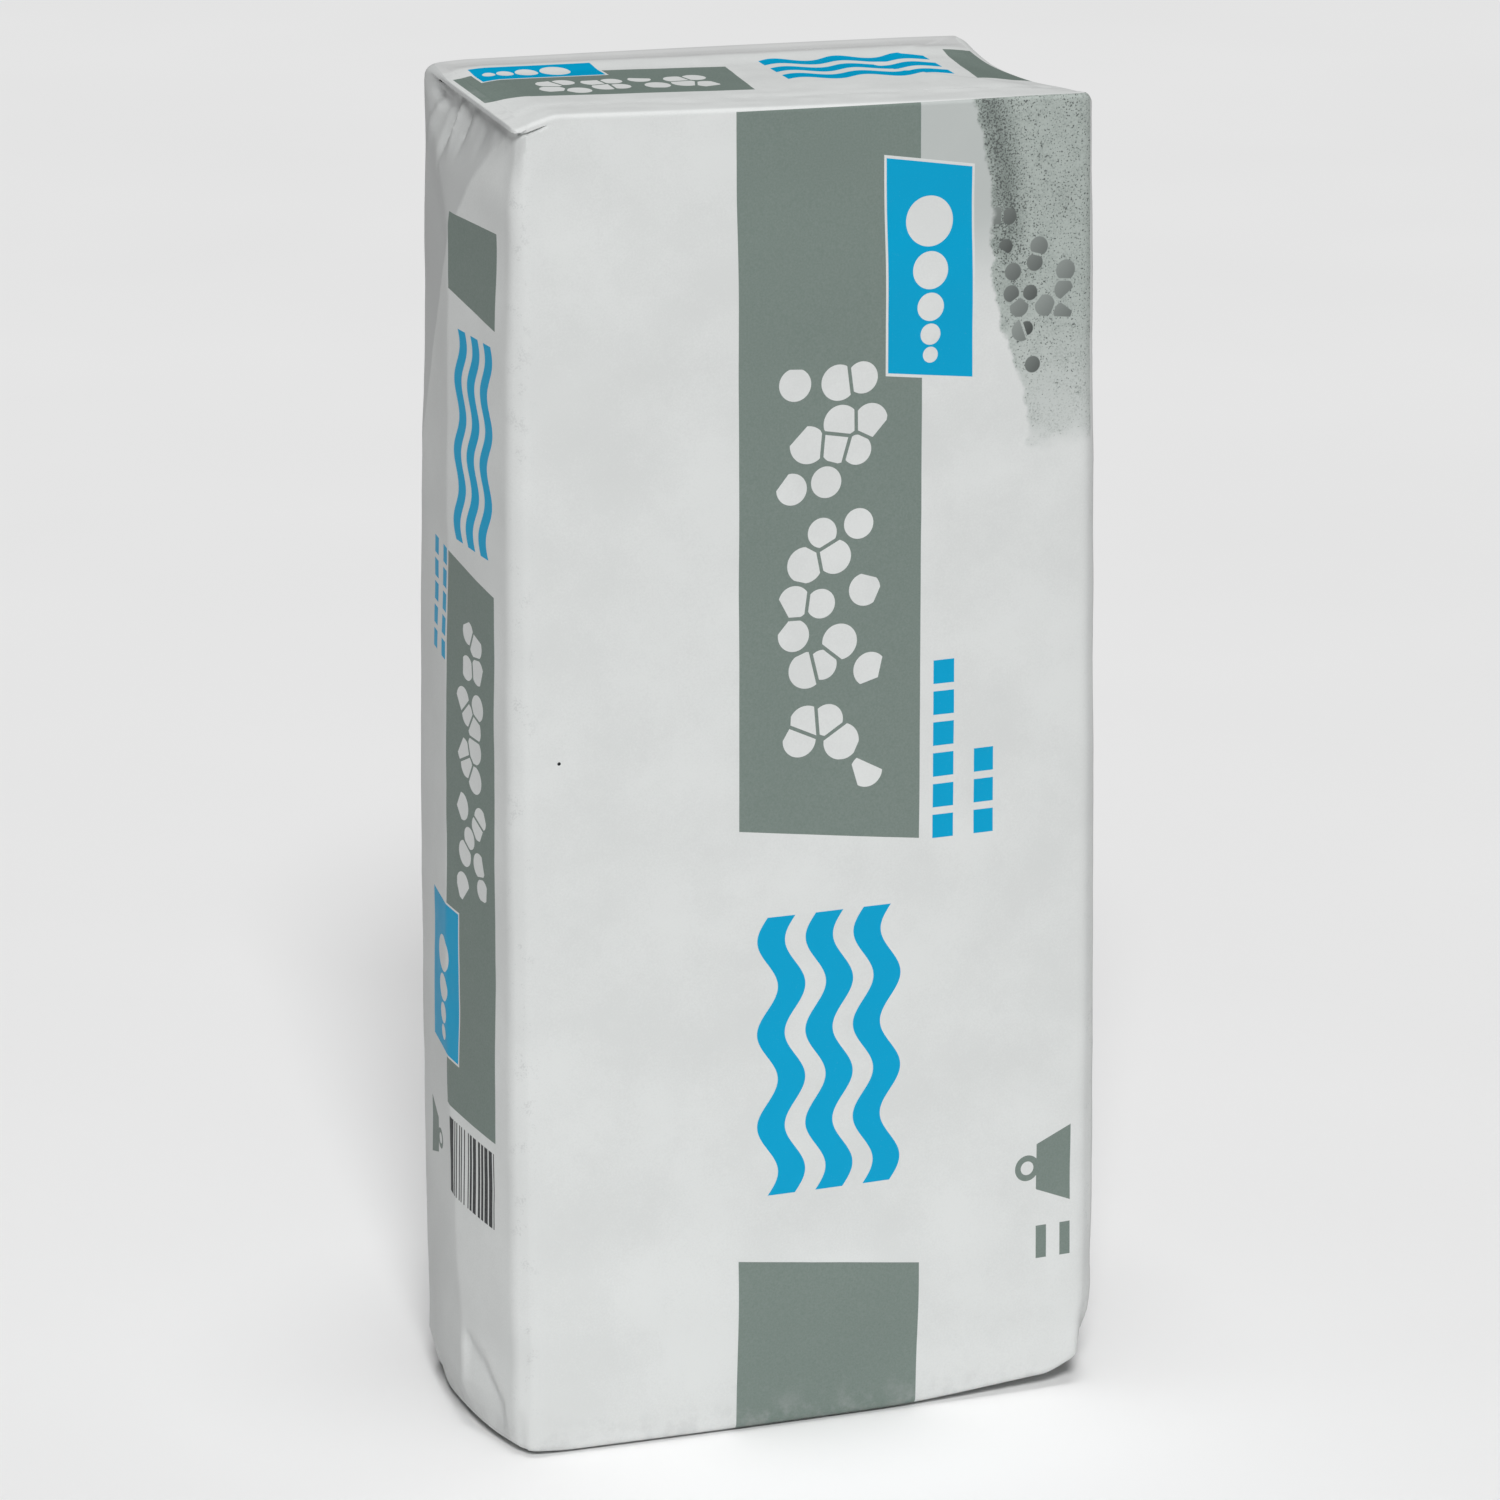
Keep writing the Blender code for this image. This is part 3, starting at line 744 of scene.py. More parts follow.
def dent_offsets(s, t, height):
    """The simulated dents at places round one ring of the fine wall."""
    round_wall = 4.0 * (HALF_WIDTH + HALF_DEPTH)
    row = np.interp(float(np.mean(height)), coarse_heights, np.arange(len(coarse_heights)))
    low = min(int(row), len(coarse_heights) - 2)
    values = blend(dents[low], dents[low + 1], row - low)
    return np.interp(distance_round(s, t), coarse_distance, values, period=round_wall)


LIP_CALM = 0.010
SLACK = ((0.045, 0.00050, 3.1), (0.016, 0.00016, 7.7), (0.007, 0.00005, 11.3))


def paper_offsets(x, y, s, t, drop, height):
    """Everything that moves the paper of the wall in or out."""
    at_height = np.where(height >= HEIGHT, height - drop, height)
    fade = smooth(drop / LIP_CALM) * smooth(at_height / END_FADE)
    slack = sum(depth * ripples(x, y, at_height, size, shift) for size, depth, shift in SLACK)
    return (slack + dent_offsets(s, t, at_height)) * fade + placed_creases(x, y, s, t, drop, height)


print("slack of the paper mm", [depth * 1000 for _, depth, _ in SLACK])

# %% [markdown]
# The top panel carries the marks of its folds: a low ridge near the back where the long flaps
# meet, slanted flap edges at the right corners, and wrinkles along the pasted strip.

# %% Marks on the top panel
BACK_RIDGE_Y = 0.0275
BACK_RIDGE = 0.0009
BACK_FALL = 0.0006
FLAP_STEP = 0.0004
WRINKLE_DEPTH = 0.00035
WRINKLE_SIZE = 0.006
FLAP_INSET = 0.004
MARKS_X = (-HALF_WIDTH + 0.003, 0.006)
MARKS_Y = (-0.0575, 0.049)


def top_surface(x, y):
    """The top panel with its marks, which fade out before its edges."""
    from_ridge = y - BACK_RIDGE_Y
    ridge = BACK_RIDGE * bump(from_ridge / 0.013) - BACK_FALL * smooth(from_ridge / 0.024)
    wave = ripples(x * 0.35, y, 0.0, WRINKLE_SIZE, 5.3)
    wrinkles = WRINKLE_DEPTH * wave * (0.25 + bump((y + 0.047) / 0.012))
    to_corner = (top_end(y) - x) - (HALF_DEPTH - FLAP_INSET - np.abs(y))
    flap = FLAP_STEP * smooth(to_corner / 0.0015)
    inside = smooth((top_end(y) - MARKS_X[1] - x) / 0.01) * smooth((x - MARKS_X[0]) / 0.01)
    inside = inside * smooth((y - MARKS_Y[0]) / 0.006) * smooth((MARKS_Y[1] - y) / 0.004)
    return top_height(x, y) + (ridge + wrinkles + flap - FLAP_STEP) * inside


sample_x, sample_y = np.meshgrid(np.linspace(-0.11, 0.1, 40), np.linspace(-0.05, 0.045, 30))
top_marks = top_surface(sample_x, sample_y) - top_height(sample_x, sample_y)
print("marks on the top mm", np.round([top_marks.min() * 1000, top_marks.max() * 1000], 2))

# %% Build the skin
skin, _ = closed_skin("sack_skin", across, along, rings, paper_offsets, top_surface)
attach(skin, "root")
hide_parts("sack")
triangles = sum(len(face.vertices) - 2 for face in skin.data.polygons)
print("skin triangles", triangles, "size", [round(v, 4) for v in skin.dimensions])

# %% [markdown]
# ## The pasted strips
#
# Each end of the sack is closed by a strip of paper pasted over the folds. It is a thin sheet that
# follows the panel, with a cut edge that isn't quite straight and is pressed down into the paste.
# A Solidify modifier could give it thickness, but building both faces and the rim directly keeps
# the sheet clear of the panel.

# %% A pasted sheet
PAPER_THICKNESS = 0.00016
STRIP_END_MARGIN = 0.006
PRESSED_EDGE = 0.004
PRESSED_SHARE = 0.25
CUT_WANDER = ((0.0004, 0.021), (0.00012, 0.005))
TOP_GLUE_GAP = 0.00012


def pasted_sheet(name, cuts, ends, front_edge, back_edge, surface, gap, end_pull=0.0):
    """A thin closed sheet between two ends and two long edges, gap metres above a surface.

    Its right end follows the drawn in end of the top by the share end_pull.
    """
    shares = [np.linspace(0.0, 1.0, count) for count in cuts]
    along_sheet, share = np.meshgrid(*shares, indexing="ij")
    x = blend(ends[0], ends[1], along_sheet)
    y = blend(front_edge(x), back_edge(x), share)
    x = x - end_pull * drawn_in(y, 1.0) * along_sheet
    to_short_edge = np.minimum(along_sheet, 1.0 - along_sheet) * (ends[1] - ends[0])
    to_long_edge = np.minimum(share, 1.0 - share) * (back_edge(x) - front_edge(x))
    loose = smooth(np.minimum(to_short_edge, to_long_edge) / PRESSED_EDGE)
    under = surface(x, y) + gap * loose
    lower = np.stack((x, y, under), -1).reshape(-1, 3)
    thickness = PAPER_THICKNESS * blend(PRESSED_SHARE, 1.0, loose)
    upper = np.stack((x, y, under + thickness), -1).reshape(-1, 3)
    ids = np.arange(x.size).reshape(x.shape)
    rim = np.concatenate((ids[:-1, 0], ids[-1, :-1], ids[:0:-1, -1], ids[0, :0:-1]))
    after = np.roll(rim, -1)
    sides = np.stack((rim, after, after + x.size, rim + x.size), -1)
    faces = np.concatenate((grid_faces(ids)[:, ::-1], grid_faces(ids + x.size), sides))
    sheet = add_mesh(name, np.concatenate((lower, upper)), faces)
    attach(sheet, "root")
    print(name, "triangles", 2 * len(faces), "size", [round(v, 4) for v in sheet.dimensions])
    return sheet


def cut_edge(y, shift):
    """A long edge cut at y, wandering by a fraction of a millimetre."""
    def edge(x):
        return y + sum(depth * ripples(x, 0.0, 0.0, size, shift) for depth, size in CUT_WANDER)

    return edge


# %% Lay the top strip
top_box_low, top_box_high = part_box("top_cover_patch")
top_strip = pasted_sheet(
    "top_strip",
    (150, 52),
    (top_box_low.x, half_width_right(1.0) - STRIP_END_MARGIN),
    cut_edge(top_box_low.y, 2.0),
    cut_edge(top_box_high.y, 9.0),
    top_surface,
    TOP_GLUE_GAP,
    end_pull=1.0,
)
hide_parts("top_cover_patch")

# %% Lay the bottom strip
foot_box_low, foot_box_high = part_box("bottom_cover_patch")
bottom_strip = pasted_sheet(
    "bottom_strip",
    (90, 24),
    (foot_box_low.x, foot_box_high.x),
    cut_edge(foot_box_low.y, 4.0),
    cut_edge(foot_box_high.y, 6.0),
    lambda x, y: foot_height(x),
    0.0,
)
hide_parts("bottom_cover_patch")

# %% [markdown]
# ## The valve sleeve
#
# The sleeve is a flattened tube of brown paper that lies in the slot under the lip. Only its mouth
# shows, as two plies with a thin gap between them, so the tube gets an inner wall for the part
# that can be seen and a plain closed end further in.

# %% Loft the sleeve
SLEEVE_HALF_DEPTH = 0.036
SLEEVE_THICKNESS = 0.0010
SLEEVE_PLY = 0.0003
SLEEVE_INNER_LENGTH = 0.030
SLEEVE_SIDE_STEPS = 24
SLEEVE_CLEARANCE = 0.0003
SLEEVE_DROP = LIP_THICKNESS + SLEEVE_CLEARANCE + SLEEVE_THICKNESS / 2.0
sleeve_low, sleeve_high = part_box("valve_sleeve")
SLOT_MOUTH_X = float(-half_width_left(1.0))
SLOT_END_X = SLOT_MOUTH_X + SLOT_DEPTH


def flat_loop(half_depth, half_height):
    """(y, z) once round a flattened tube."""
    sweep = np.linspace(-1.0, 1.0, SLEEVE_SIDE_STEPS)
    upper = [(y * (half_depth - half_height), half_height) for y in sweep]
    lower = [(y * (half_depth - half_height), -half_height) for y in reversed(sweep)]
    return np.array(upper + [(half_depth, 0.0)] + lower + [(-half_depth, 0.0)])


def slot_line(x, y):
    """Height of the line from the lip to the inner end of the slot."""
    share = (x - SLOT_MOUTH_X) / (SLOT_END_X - SLOT_MOUTH_X)
    return blend(top_height(SLOT_MOUTH_X, y), top_height(SLOT_END_X, y), share)


outer = flat_loop(SLEEVE_HALF_DEPTH, SLEEVE_THICKNESS / 2.0)
inner = flat_loop(SLEEVE_HALF_DEPTH - SLEEVE_PLY, SLEEVE_THICKNESS / 2.0 - SLEEVE_PLY)
outer_x = np.linspace(sleeve_high.x, sleeve_low.x, 30)
inner_x = np.linspace(sleeve_low.x, sleeve_low.x + SLEEVE_INNER_LENGTH, 10)
loops = [(x, outer) for x in outer_x] + [(x, inner) for x in inner_x]
sleeve_points = [(x, y, slot_line(x, y) - SLEEVE_DROP + z) for x, loop in loops for y, z in loop]
tube_ids = np.arange(len(sleeve_points)).reshape(len(loops), len(outer))
tube_faces = grid_faces(np.concatenate((tube_ids, tube_ids[:, :1]), 1)).tolist()
sleeve_faces = tube_faces + [tube_ids[0].tolist()[::-1], tube_ids[-1].tolist()]
sleeve_mesh = bpy.data.meshes.new("sleeve_plies")
sleeve_mesh.from_pydata(sleeve_points, [], sleeve_faces)
builder = bmesh.new()
builder.from_mesh(sleeve_mesh)
bmesh.ops.recalc_face_normals(builder, faces=builder.faces)
builder.to_mesh(sleeve_mesh)
builder.free()
sleeve = add_object("sleeve_plies", sleeve_mesh)
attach(sleeve, "root")
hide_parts("valve_sleeve")
print("sleeve size", [round(v, 4) for v in sleeve.dimensions])

# %% [markdown]
# ## Writing materials as expressions
#
# A paper material is a long sum of small effects, which is hard to follow as a picture of nodes.
# Here a wire stands for one socket, and arithmetic on wires adds the Math nodes, by methods made
# from a table. Any other node comes from the one method `node`, which takes its type, its settings
# and its sockets.

# %% The wire class
class Wire:
    """One output socket of a material's node tree."""

    def __init__(self, tree, socket=None):
        self.tree = tree
        self.socket = socket

    def node(self, kind, settings, sockets, output=0):
        made = self.tree.nodes.new(kind)
        for name, value in settings.items():
            setattr(made, name, value)
        for name, value in sockets.items():
            if isinstance(value, Wire):
                self.tree.links.new(value.socket, made.inputs[name])
            else:
                made.inputs[name].default_value = value
        return Wire(self.tree, made.outputs[output])

    def other(self, output):
        """Another output of the node that this wire comes from."""
        return Wire(self.tree, self.socket.node.outputs[output])

    def maths(self, operation, first, second=0.0):
        return self.node("ShaderNodeMath", {"operation": operation}, {0: first, 1: second})

    def rise(self, start, end):
        """0 before start, 1 after end, with level ends."""
        sockets = {"Value": self, "From Min": start, "From Max": end}
        return self.node("ShaderNodeMapRange", {"interpolation_type": "SMOOTHSTEP"}, sockets)

    def noise(self, scale, detail=2.0, roughness=0.5):
        """Noise from 0 to 1 on this wire's vector, scale waves to the metre."""
        sockets = {"Vector": self, "Scale": scale, "Detail": detail, "Roughness": roughness}
        return self.node("ShaderNodeTexNoise", {}, sockets)

    def parts(self):
        """The three numbers of a vector wire."""
        first = self.node("ShaderNodeSeparateXYZ", {}, {0: self})
        return [first.other(output) for output in range(3)]

    def colour(self, under, over):
        """Mixes two colours, with this wire as the share of the one on top."""
        sockets = {0: self, 6: under, 7: over}
        return self.node("ShaderNodeMix", {"data_type": "RGBA"}, sockets, output=2)


def operator(operation, turned=False):
    """A method of a wire that adds a Math node; turned puts the wire second."""
    if turned:
        return lambda wire, other: wire.maths(operation, other, wire)
    return lambda wire, other=0.0: wire.maths(operation, wire, other)


OPERATORS = {
    "add": "ADD", "sub": "SUBTRACT", "mul": "MULTIPLY", "truediv": "DIVIDE",
    "gt": "GREATER_THAN", "lt": "LESS_THAN", "abs": "ABSOLUTE",
}
METHODS = {
    "most": "MAXIMUM", "least": "MINIMUM", "wave": "SINE", "floor": "FLOOR",
    "within": "FLOORED_MODULO",
}
for word, operation in OPERATORS.items():
    setattr(Wire, f"__{word}__", operator(operation))
for word in ("add", "sub", "mul"):
    setattr(Wire, f"__r{word}__", operator(OPERATORS[word], turned=True))
for word, operation in METHODS.items():
    setattr(Wire, word, operator(operation))


def start_material(name):
    """A new material with its Principled shader, and a wire that holds places in metres."""
    material = bpy.data.materials.new(name)
    material.use_nodes = True
    shader = material.node_tree.nodes["Principled BSDF"]
    place = Wire(material.node_tree).node("ShaderNodeTexCoord", {}, {}, output=3)
    return material, shader, place


def plug(value, socket):
    value.tree.links.new(value.socket, socket)


print("methods of a wire", len([name for name, value in vars(Wire).items() if callable(value)]))

# %% [markdown]
# ## The inks
#
# The print is flat colour on white paper: grey-green bands, blue boxes, and bare paper where a
# band is left open. Plain motifs show what is inside: pebbles for the gravel, dots that grow for
# the grain sizes, waves for the water to mix it with, a weight, and bars. Each mask is a number
# from 0 to 1 worked out from the place on the sack in metres, so nothing depends on an unwrapped
# image.

# %% Ink colours
PAPER_WHITE = (0.700, 0.716, 0.708)
BAND_GREEN = (0.168, 0.215, 0.192, 1.0)
BOX_BLUE = (0.0, 0.345, 0.605, 1.0)
BAR_BLACK = (0.018, 0.020, 0.022, 1.0)
# Grey of real dust and scuffs, also used for the painted shade under the lip.
DUST_AND_SHADE_GREY = (0.415, 0.425, 0.425, 1.0)


def between(value, low, high):
    return (value > low) * (value < high)


def patch(u, v, u_range, v_range):
    """1 inside a rectangle."""
    return between(u, *u_range) * between(v, *v_range)


def either(*masks):
    total = masks[0]
    for mask in masks[1:]:
        total = total.most(mask)
    return total


def on_line(place, line):
    """The value at a place of a line that is given by its value at 0 and its slope."""
    return line[0] + line[1] * place


def disc(u, v, centre, radius):
    across_u, across_v = u - centre[0], v - centre[1]
    return (across_u * across_u + across_v * across_v) < radius**2


def scattered_cells(u, v, size, randomness):
    """Cells about size wide: distance to the centre and to the edge, centre, random numbers."""
    sockets = {
        "Vector": u.node("ShaderNodeCombineXYZ", {}, {0: u, 1: v}),
        "Scale": 1.0 / size,
        "Randomness": randomness,
    }
    centres, edges = [
        u.node("ShaderNodeTexVoronoi", {"voronoi_dimensions": "2D", "feature": feature}, sockets)
        for feature in ("F1", "DISTANCE_TO_EDGE")
    ]
    return centres, edges, centres.other(2).parts()[:2], centres.other(1).parts()


print("inks", {"green": BAND_GREEN[:3], "blue": BOX_BLUE[:3], "black": BAR_BLACK[:3]})

# %% [markdown]
# Each motif is a small function of two directions on the paper, u and v, so that the front, the
# sides and the top can all use it at their own size.

# %% Motifs
PEBBLE_RADIUS = 0.40
PEBBLE_SPREAD = 0.12
PEBBLE_RANDOMNESS = 0.70
PEBBLE_JOINT = 0.05
DOT_GROWTH = 1.33
DOT_GAP = 0.25
WAVE_COUNT = 3
DASH_SHARE = 0.76
WEIGHT_TOP = 0.30
WEIGHT_FOOT = 0.78
WEIGHT_SLANT = 0.42
RING_RADIUS = 0.17
RING_HOLE = 0.09


def pebbles(u, v, u_range, v_range, size):
    """Pebbles of bare paper in a patch, only whole ones, with joints of ink between them."""
    cells, edges, centre, (share, _, _) = scattered_cells(u, v, size, PEBBLE_RANDOMNESS)
    room = PEBBLE_RADIUS * size
    whole = patch(*centre, *[(low + room, high - room) for low, high in (u_range, v_range)])
    return whole * (cells < PEBBLE_RADIUS + PEBBLE_SPREAD * share) * (edges > PEBBLE_JOINT)


def growing_dots(u, v, middle, foot, count, radius):
    """A row of dots up from foot, each larger than the one below it."""
    dots = []
    for _ in range(count):
        dots.append(disc(u, v, (middle, foot + radius), radius))
        foot += (2.0 + DOT_GAP) * radius
        radius *= DOT_GROWTH
    return either(*dots)


def waves(u, v, start, v_range, length, swing, pitch, width):
    """Wavy bars along v, side by side from u = start."""
    swung = swing * ((v - v_range[0]) * (2.0 * math.pi / length)).wave()
    bent = u - start - swing - swung
    bars = between(bent, 0.0, (WAVE_COUNT - 1) * pitch + width) * (bent.within(pitch) < width)
    return bars * between(v, *v_range)


def weight_sign(u, v, top, middle, size):
    """A weight with a ring, as wide as size at its foot; u runs down it and v across it."""
    u, v = u - top, v - middle
    half_width = WEIGHT_TOP * size + (u - WEIGHT_TOP * size) * WEIGHT_SLANT
    body = between(u, WEIGHT_TOP * size, WEIGHT_FOOT * size) * (abs(v) < half_width)
    centre = (RING_RADIUS * size, 0.0)
    ring = disc(u, v, centre, RING_RADIUS * size) * (1.0 - disc(u, v, centre, RING_HOLE * size))
    return either(body, ring)


def dashes(u, v, rows, pitch):
    """Rows of dashes along v."""
    return either(*[patch(u, v, *row) for row in rows]) * (v.within(pitch) < DASH_SHARE * pitch)


def lined_box(u, v, u_range, v_range, line):
    """A box with the pale line round it, and the box alone."""
    outline = [(low - line, high + line) for low, high in (u_range, v_range)]
    return patch(u, v, *outline), patch(u, v, u_range, v_range)


print("the fifth dot of a row is", round(DOT_GROWTH**4, 2), "times as wide as the first")

# %% [markdown]
# The front carries a band down from the top edge with a pebble motif, a blue box on the band's
# right edge, waves below it, and a short band at the foot. The slanted ends are part of the print.

# %% Front print
FRONT_BAND_X = (-0.0338, 0.0432)
FRONT_BAND_FOOT = (0.2500, -0.140)
FRONT_TOP_EDGE = (0.5431, -0.022)
FRONT_BLOCK_X = (-0.0341, 0.0443)
FRONT_BLOCK_TOP = (0.0696, -0.131)
FRONT_BOX_X = (0.0287, 0.0650)
FRONT_BOX_FOOT = 0.4358
FRONT_BOX_TOP = 0.5212
FRONT_BOX_SLANTS = (0.127, 0.164)
FRONT_BOX_LINES = ((0.0010, 0.0012), (0.0, 0.0))
FRONT_DOTS = (0.0468, 0.4385, 5, 0.0032)
FRONT_PEBBLES = ((-0.0190, 0.0278), (0.2660, 0.4420), 0.0148)
FRONT_WAVES = (-0.0263, (0.1010, 0.2180), 0.0390, 0.0044, 0.0206, 0.0118)
FRONT_DASHES = (((0.0490, 0.0580), (0.2425, 0.3190)), ((0.0670, 0.0755), (0.2415, 0.2810)))
FRONT_DASH_PITCH = 0.0128
FRONT_WEIGHT = (0.0870, 0.0975, 0.0325)
FRONT_BARS = (((0.0968, 0.1015), (0.0580, 0.0720)), ((0.1076, 0.1123), (0.0580, 0.0720)))


def front_box(x, z):
    """The blue box with its slanted ends, first with the pale line round it and then without."""
    foot, top = [z + slant * (x - FRONT_BOX_X[0]) for slant in FRONT_BOX_SLANTS]
    boxes = []
    for side_line, end_line in FRONT_BOX_LINES:
        box = between(x, FRONT_BOX_X[0] - side_line, FRONT_BOX_X[1] + side_line)
        box = box * (foot > FRONT_BOX_FOOT - end_line) * (top < FRONT_BOX_TOP + end_line)
        boxes.append(box)
    return boxes


def front_print(x, z):
    """(green, blue) ink on the front, by place across and up it."""
    outline, box = front_box(x, z)
    band = between(z, on_line(x, FRONT_BAND_FOOT), on_line(x, FRONT_TOP_EDGE))
    band = band * between(x, *FRONT_BAND_X) * (1.0 - outline)
    band = band * (1.0 - pebbles(x, z, *FRONT_PEBBLES))
    block = between(x, *FRONT_BLOCK_X) * (z < on_line(x, FRONT_BLOCK_TOP))
    bars = [patch(x, z, *bar) for bar in FRONT_BARS]
    box = box * (1.0 - growing_dots(x, z, *FRONT_DOTS))
    lines = dashes(x, z, FRONT_DASHES, FRONT_DASH_PITCH)
    green = either(band, block, weight_sign(x, z, *FRONT_WEIGHT), *bars)
    return green, either(box, waves(x, z, *FRONT_WAVES), lines)


print("front band mm wide", round((FRONT_BAND_X[1] - FRONT_BAND_X[0]) * 1000, 1))

# %% [markdown]
# The narrow sides repeat the band at a smaller size, with bars like those a till reads, and the top
# repeats it once more. The band's rear edge lies on the fold line of the side, and the print is
# drawn up a little towards that line, the more so the further down, because the side swells there.

# %% Side print
SIDE_PULL_FROM = -0.0590
SIDE_PULL = (0.154, -0.26)
SIDE_BAND_Y = (-0.0437, -0.0006)
SIDE_BAND_FOOT = 0.1270
SIDE_BAND_TOP = (0.3600, 0.157)
SIDE_BLOCK_FOOT = (0.4675, 0.175)
SIDE_BLOCK_TOP = 0.4985
SIDE_BOX = ((-0.0119, 0.0213), (0.1475, 0.2113), 0.0009)
SIDE_DOTS = (0.0047, 0.1515, 4, 0.0032)
SIDE_PEBBLES = ((-0.0402, -0.0062), (0.2160, 0.3380), 0.0112)
SIDE_WAVES = (-0.0418, (0.3670, 0.4530), 0.0290, 0.0024, 0.0118, 0.0068)
SIDE_DASHES = (((0.0015, 0.0075), (0.3130, 0.3600)), ((0.0150, 0.0210), (0.3130, 0.3600)))
SIDE_DASH_PITCH = 0.0098
SIDE_WEIGHT = (0.0105, 0.1040, 0.0250)
TILL_BARS = ((-0.0424, -0.0010), (0.0900, 0.1222))
TILL_BARS_PER_METRE = 1150.0
TILL_BARS_BARE = 0.45


def up_side(y, z):
    """Height up a narrow side's print, which is drawn up towards the fold line."""
    return z - (y - SIDE_PULL_FROM) * on_line(z, SIDE_PULL)


def side_print(y, z):
    """(green, blue) ink on a narrow side, by place towards the back and up it."""
    up = up_side(y, z)
    outline, box = lined_box(y, up, *SIDE_BOX)
    block = between(up, on_line(y, SIDE_BLOCK_FOOT), SIDE_BLOCK_TOP)
    band = between(up, SIDE_BAND_FOOT, on_line(y, SIDE_BAND_TOP))
    band = either(block, band * (1.0 - pebbles(y, up, *SIDE_PEBBLES)))
    band = band * between(y, *SIDE_BAND_Y) * (1.0 - outline)
    box = box * (1.0 - growing_dots(y, up, *SIDE_DOTS))
    lines = dashes(y, up, SIDE_DASHES, SIDE_DASH_PITCH)
    green = either(band, weight_sign(y, up, *SIDE_WEIGHT))
    return green, either(box, waves(y, up, *SIDE_WAVES), lines)


def till_bars(y, z):
    """Black bars of random width."""
    steps = {"W": (y * TILL_BARS_PER_METRE).floor()}
    bar = y.node("ShaderNodeTexWhiteNoise", {"noise_dimensions": "1D"}, steps)
    return patch(y, up_side(y, z), *TILL_BARS) * (bar > TILL_BARS_BARE)


print("side band mm wide", round((SIDE_BAND_Y[1] - SIDE_BAND_Y[0]) * 1000, 1))

# %% Top print
TOP_LIP_X = -0.1217
TOP_BAND_LEFT = -0.1215
TOP_BAND_RIGHT = (-0.0114, 0.090)
TOP_BAND_FRONT = (-0.0264, -0.052)
TOP_BAND_BACK = (0.0188, -0.068)
DROOPED_PRINT = 0.0070
DROOPED_LENGTH = 0.0165
TOP_BLOCK_Y = (-0.0260, 0.0245)
TOP_BLOCK_LEFT = (0.0851, 0.111)
TOP_BLOCK_RIGHT = 0.1160
TOP_BOX = ((-0.1130, -0.0622), (0.0070, 0.0258), 0.0010)
TOP_DOTS = (0.0164, -0.1100, 4, 0.0026)
TOP_PEBBLES = ((-0.1085, -0.0215), (-0.0260, 0.0030), 0.0108)
TOP_WAVES = (-0.0185, (0.0060, 0.0760), 0.0270, 0.0026, 0.0130, 0.0074)


def top_print(x, y):
    """(green, blue) ink on the top, whose front edge looks straight across the drooping lip."""
    from_lip = x - TOP_LIP_X
    at_droop = DROOPED_PRINT * (1.0 - from_lip / DROOPED_LENGTH).most(0.0)
    front_edge = at_droop + on_line(from_lip, TOP_BAND_FRONT)
    band = between(y, front_edge, on_line(from_lip, TOP_BAND_BACK))
    outline, box = lined_box(x, y, *TOP_BOX)
    band = band * between(x, TOP_BAND_LEFT, on_line(y, TOP_BAND_RIGHT)) * (1.0 - outline)
    band = band * (1.0 - pebbles(x, y, *TOP_PEBBLES))
    block = between(y, *TOP_BLOCK_Y) * between(x, on_line(y, TOP_BLOCK_LEFT), TOP_BLOCK_RIGHT)
    box = box * (1.0 - growing_dots(y, x, *TOP_DOTS))
    return either(band, block), either(box, waves(y, x, *TOP_WAVES))


print("top block mm deep", round((TOP_BLOCK_Y[1] - TOP_BLOCK_Y[0]) * 1000, 1))

# %% [markdown]
# ## The picture corner
#
# The upper right of the front is printed as fresh concrete. Noise makes its sand, darker and
# rougher at the top beyond a slanted line, cells make a slanted oval of stones in the sand, and a
# pale grey wash fills the space between the band and the line. An image could hold all this, but
# nodes stay sharp at any size and need no file.

# %% Concrete texture
WASH_GREY = (0.485, 0.515, 0.503, 1.0)
SAND_PALE = (0.560, 0.590, 0.575, 1.0)
SAND_LIGHT = (0.410, 0.456, 0.430, 1.0)
SAND_MID = (0.205, 0.240, 0.222, 1.0)
SAND_DARK = (0.085, 0.097, 0.092, 1.0)
STONE_DARK = (0.050, 0.058, 0.055, 1.0)
STONE_LIGHT = (0.260, 0.290, 0.275, 1.0)
STONE_SIZE = 0.0098
STONE_RANDOMNESS = 0.85
STONES_X = 0.0905
STONES_Z = 0.4680
STONES_SLANT = 0.22
STONES_HALF_WIDTH = 0.0150
STONES_HALF_HEIGHT = 0.0430
STONES_REACH = 1.15
STONES_THINNING = 0.7
STONE_RADIUS = 0.31
STONE_SPREAD = 0.16
PICTURE_TOP = 0.5419
PICTURE_FOOT = 0.3975
LINE_X = 0.0626
LINE_SLANT = 0.171
LINE_BEND = 0.0025


def scattered_stones(x, z):
    """(mask, tone) of rounded stones that lie close in a slanted oval."""
    spread = scattered_cells(x, z, STONE_SIZE, STONE_RANDOMNESS)
    cells, edges, (centre_x, centre_z), (share, chance, _) = spread
    above = centre_z - STONES_Z
    across = (centre_x - STONES_X + STONES_SLANT * above) / STONES_HALF_WIDTH
    along = above / STONES_HALF_HEIGHT
    inside = across * across + along * along + STONES_THINNING * chance < STONES_REACH
    rounded = (STONE_RADIUS + STONE_SPREAD * share - cells).rise(0.0, 0.05)
    mask = inside * rounded * edges.rise(0.03, 0.07)
    lit = (z - centre_z - (x - centre_x)) / STONE_SIZE
    return mask, (0.70 * share + 0.35 * lit + 0.10).most(0.0).least(1.0)


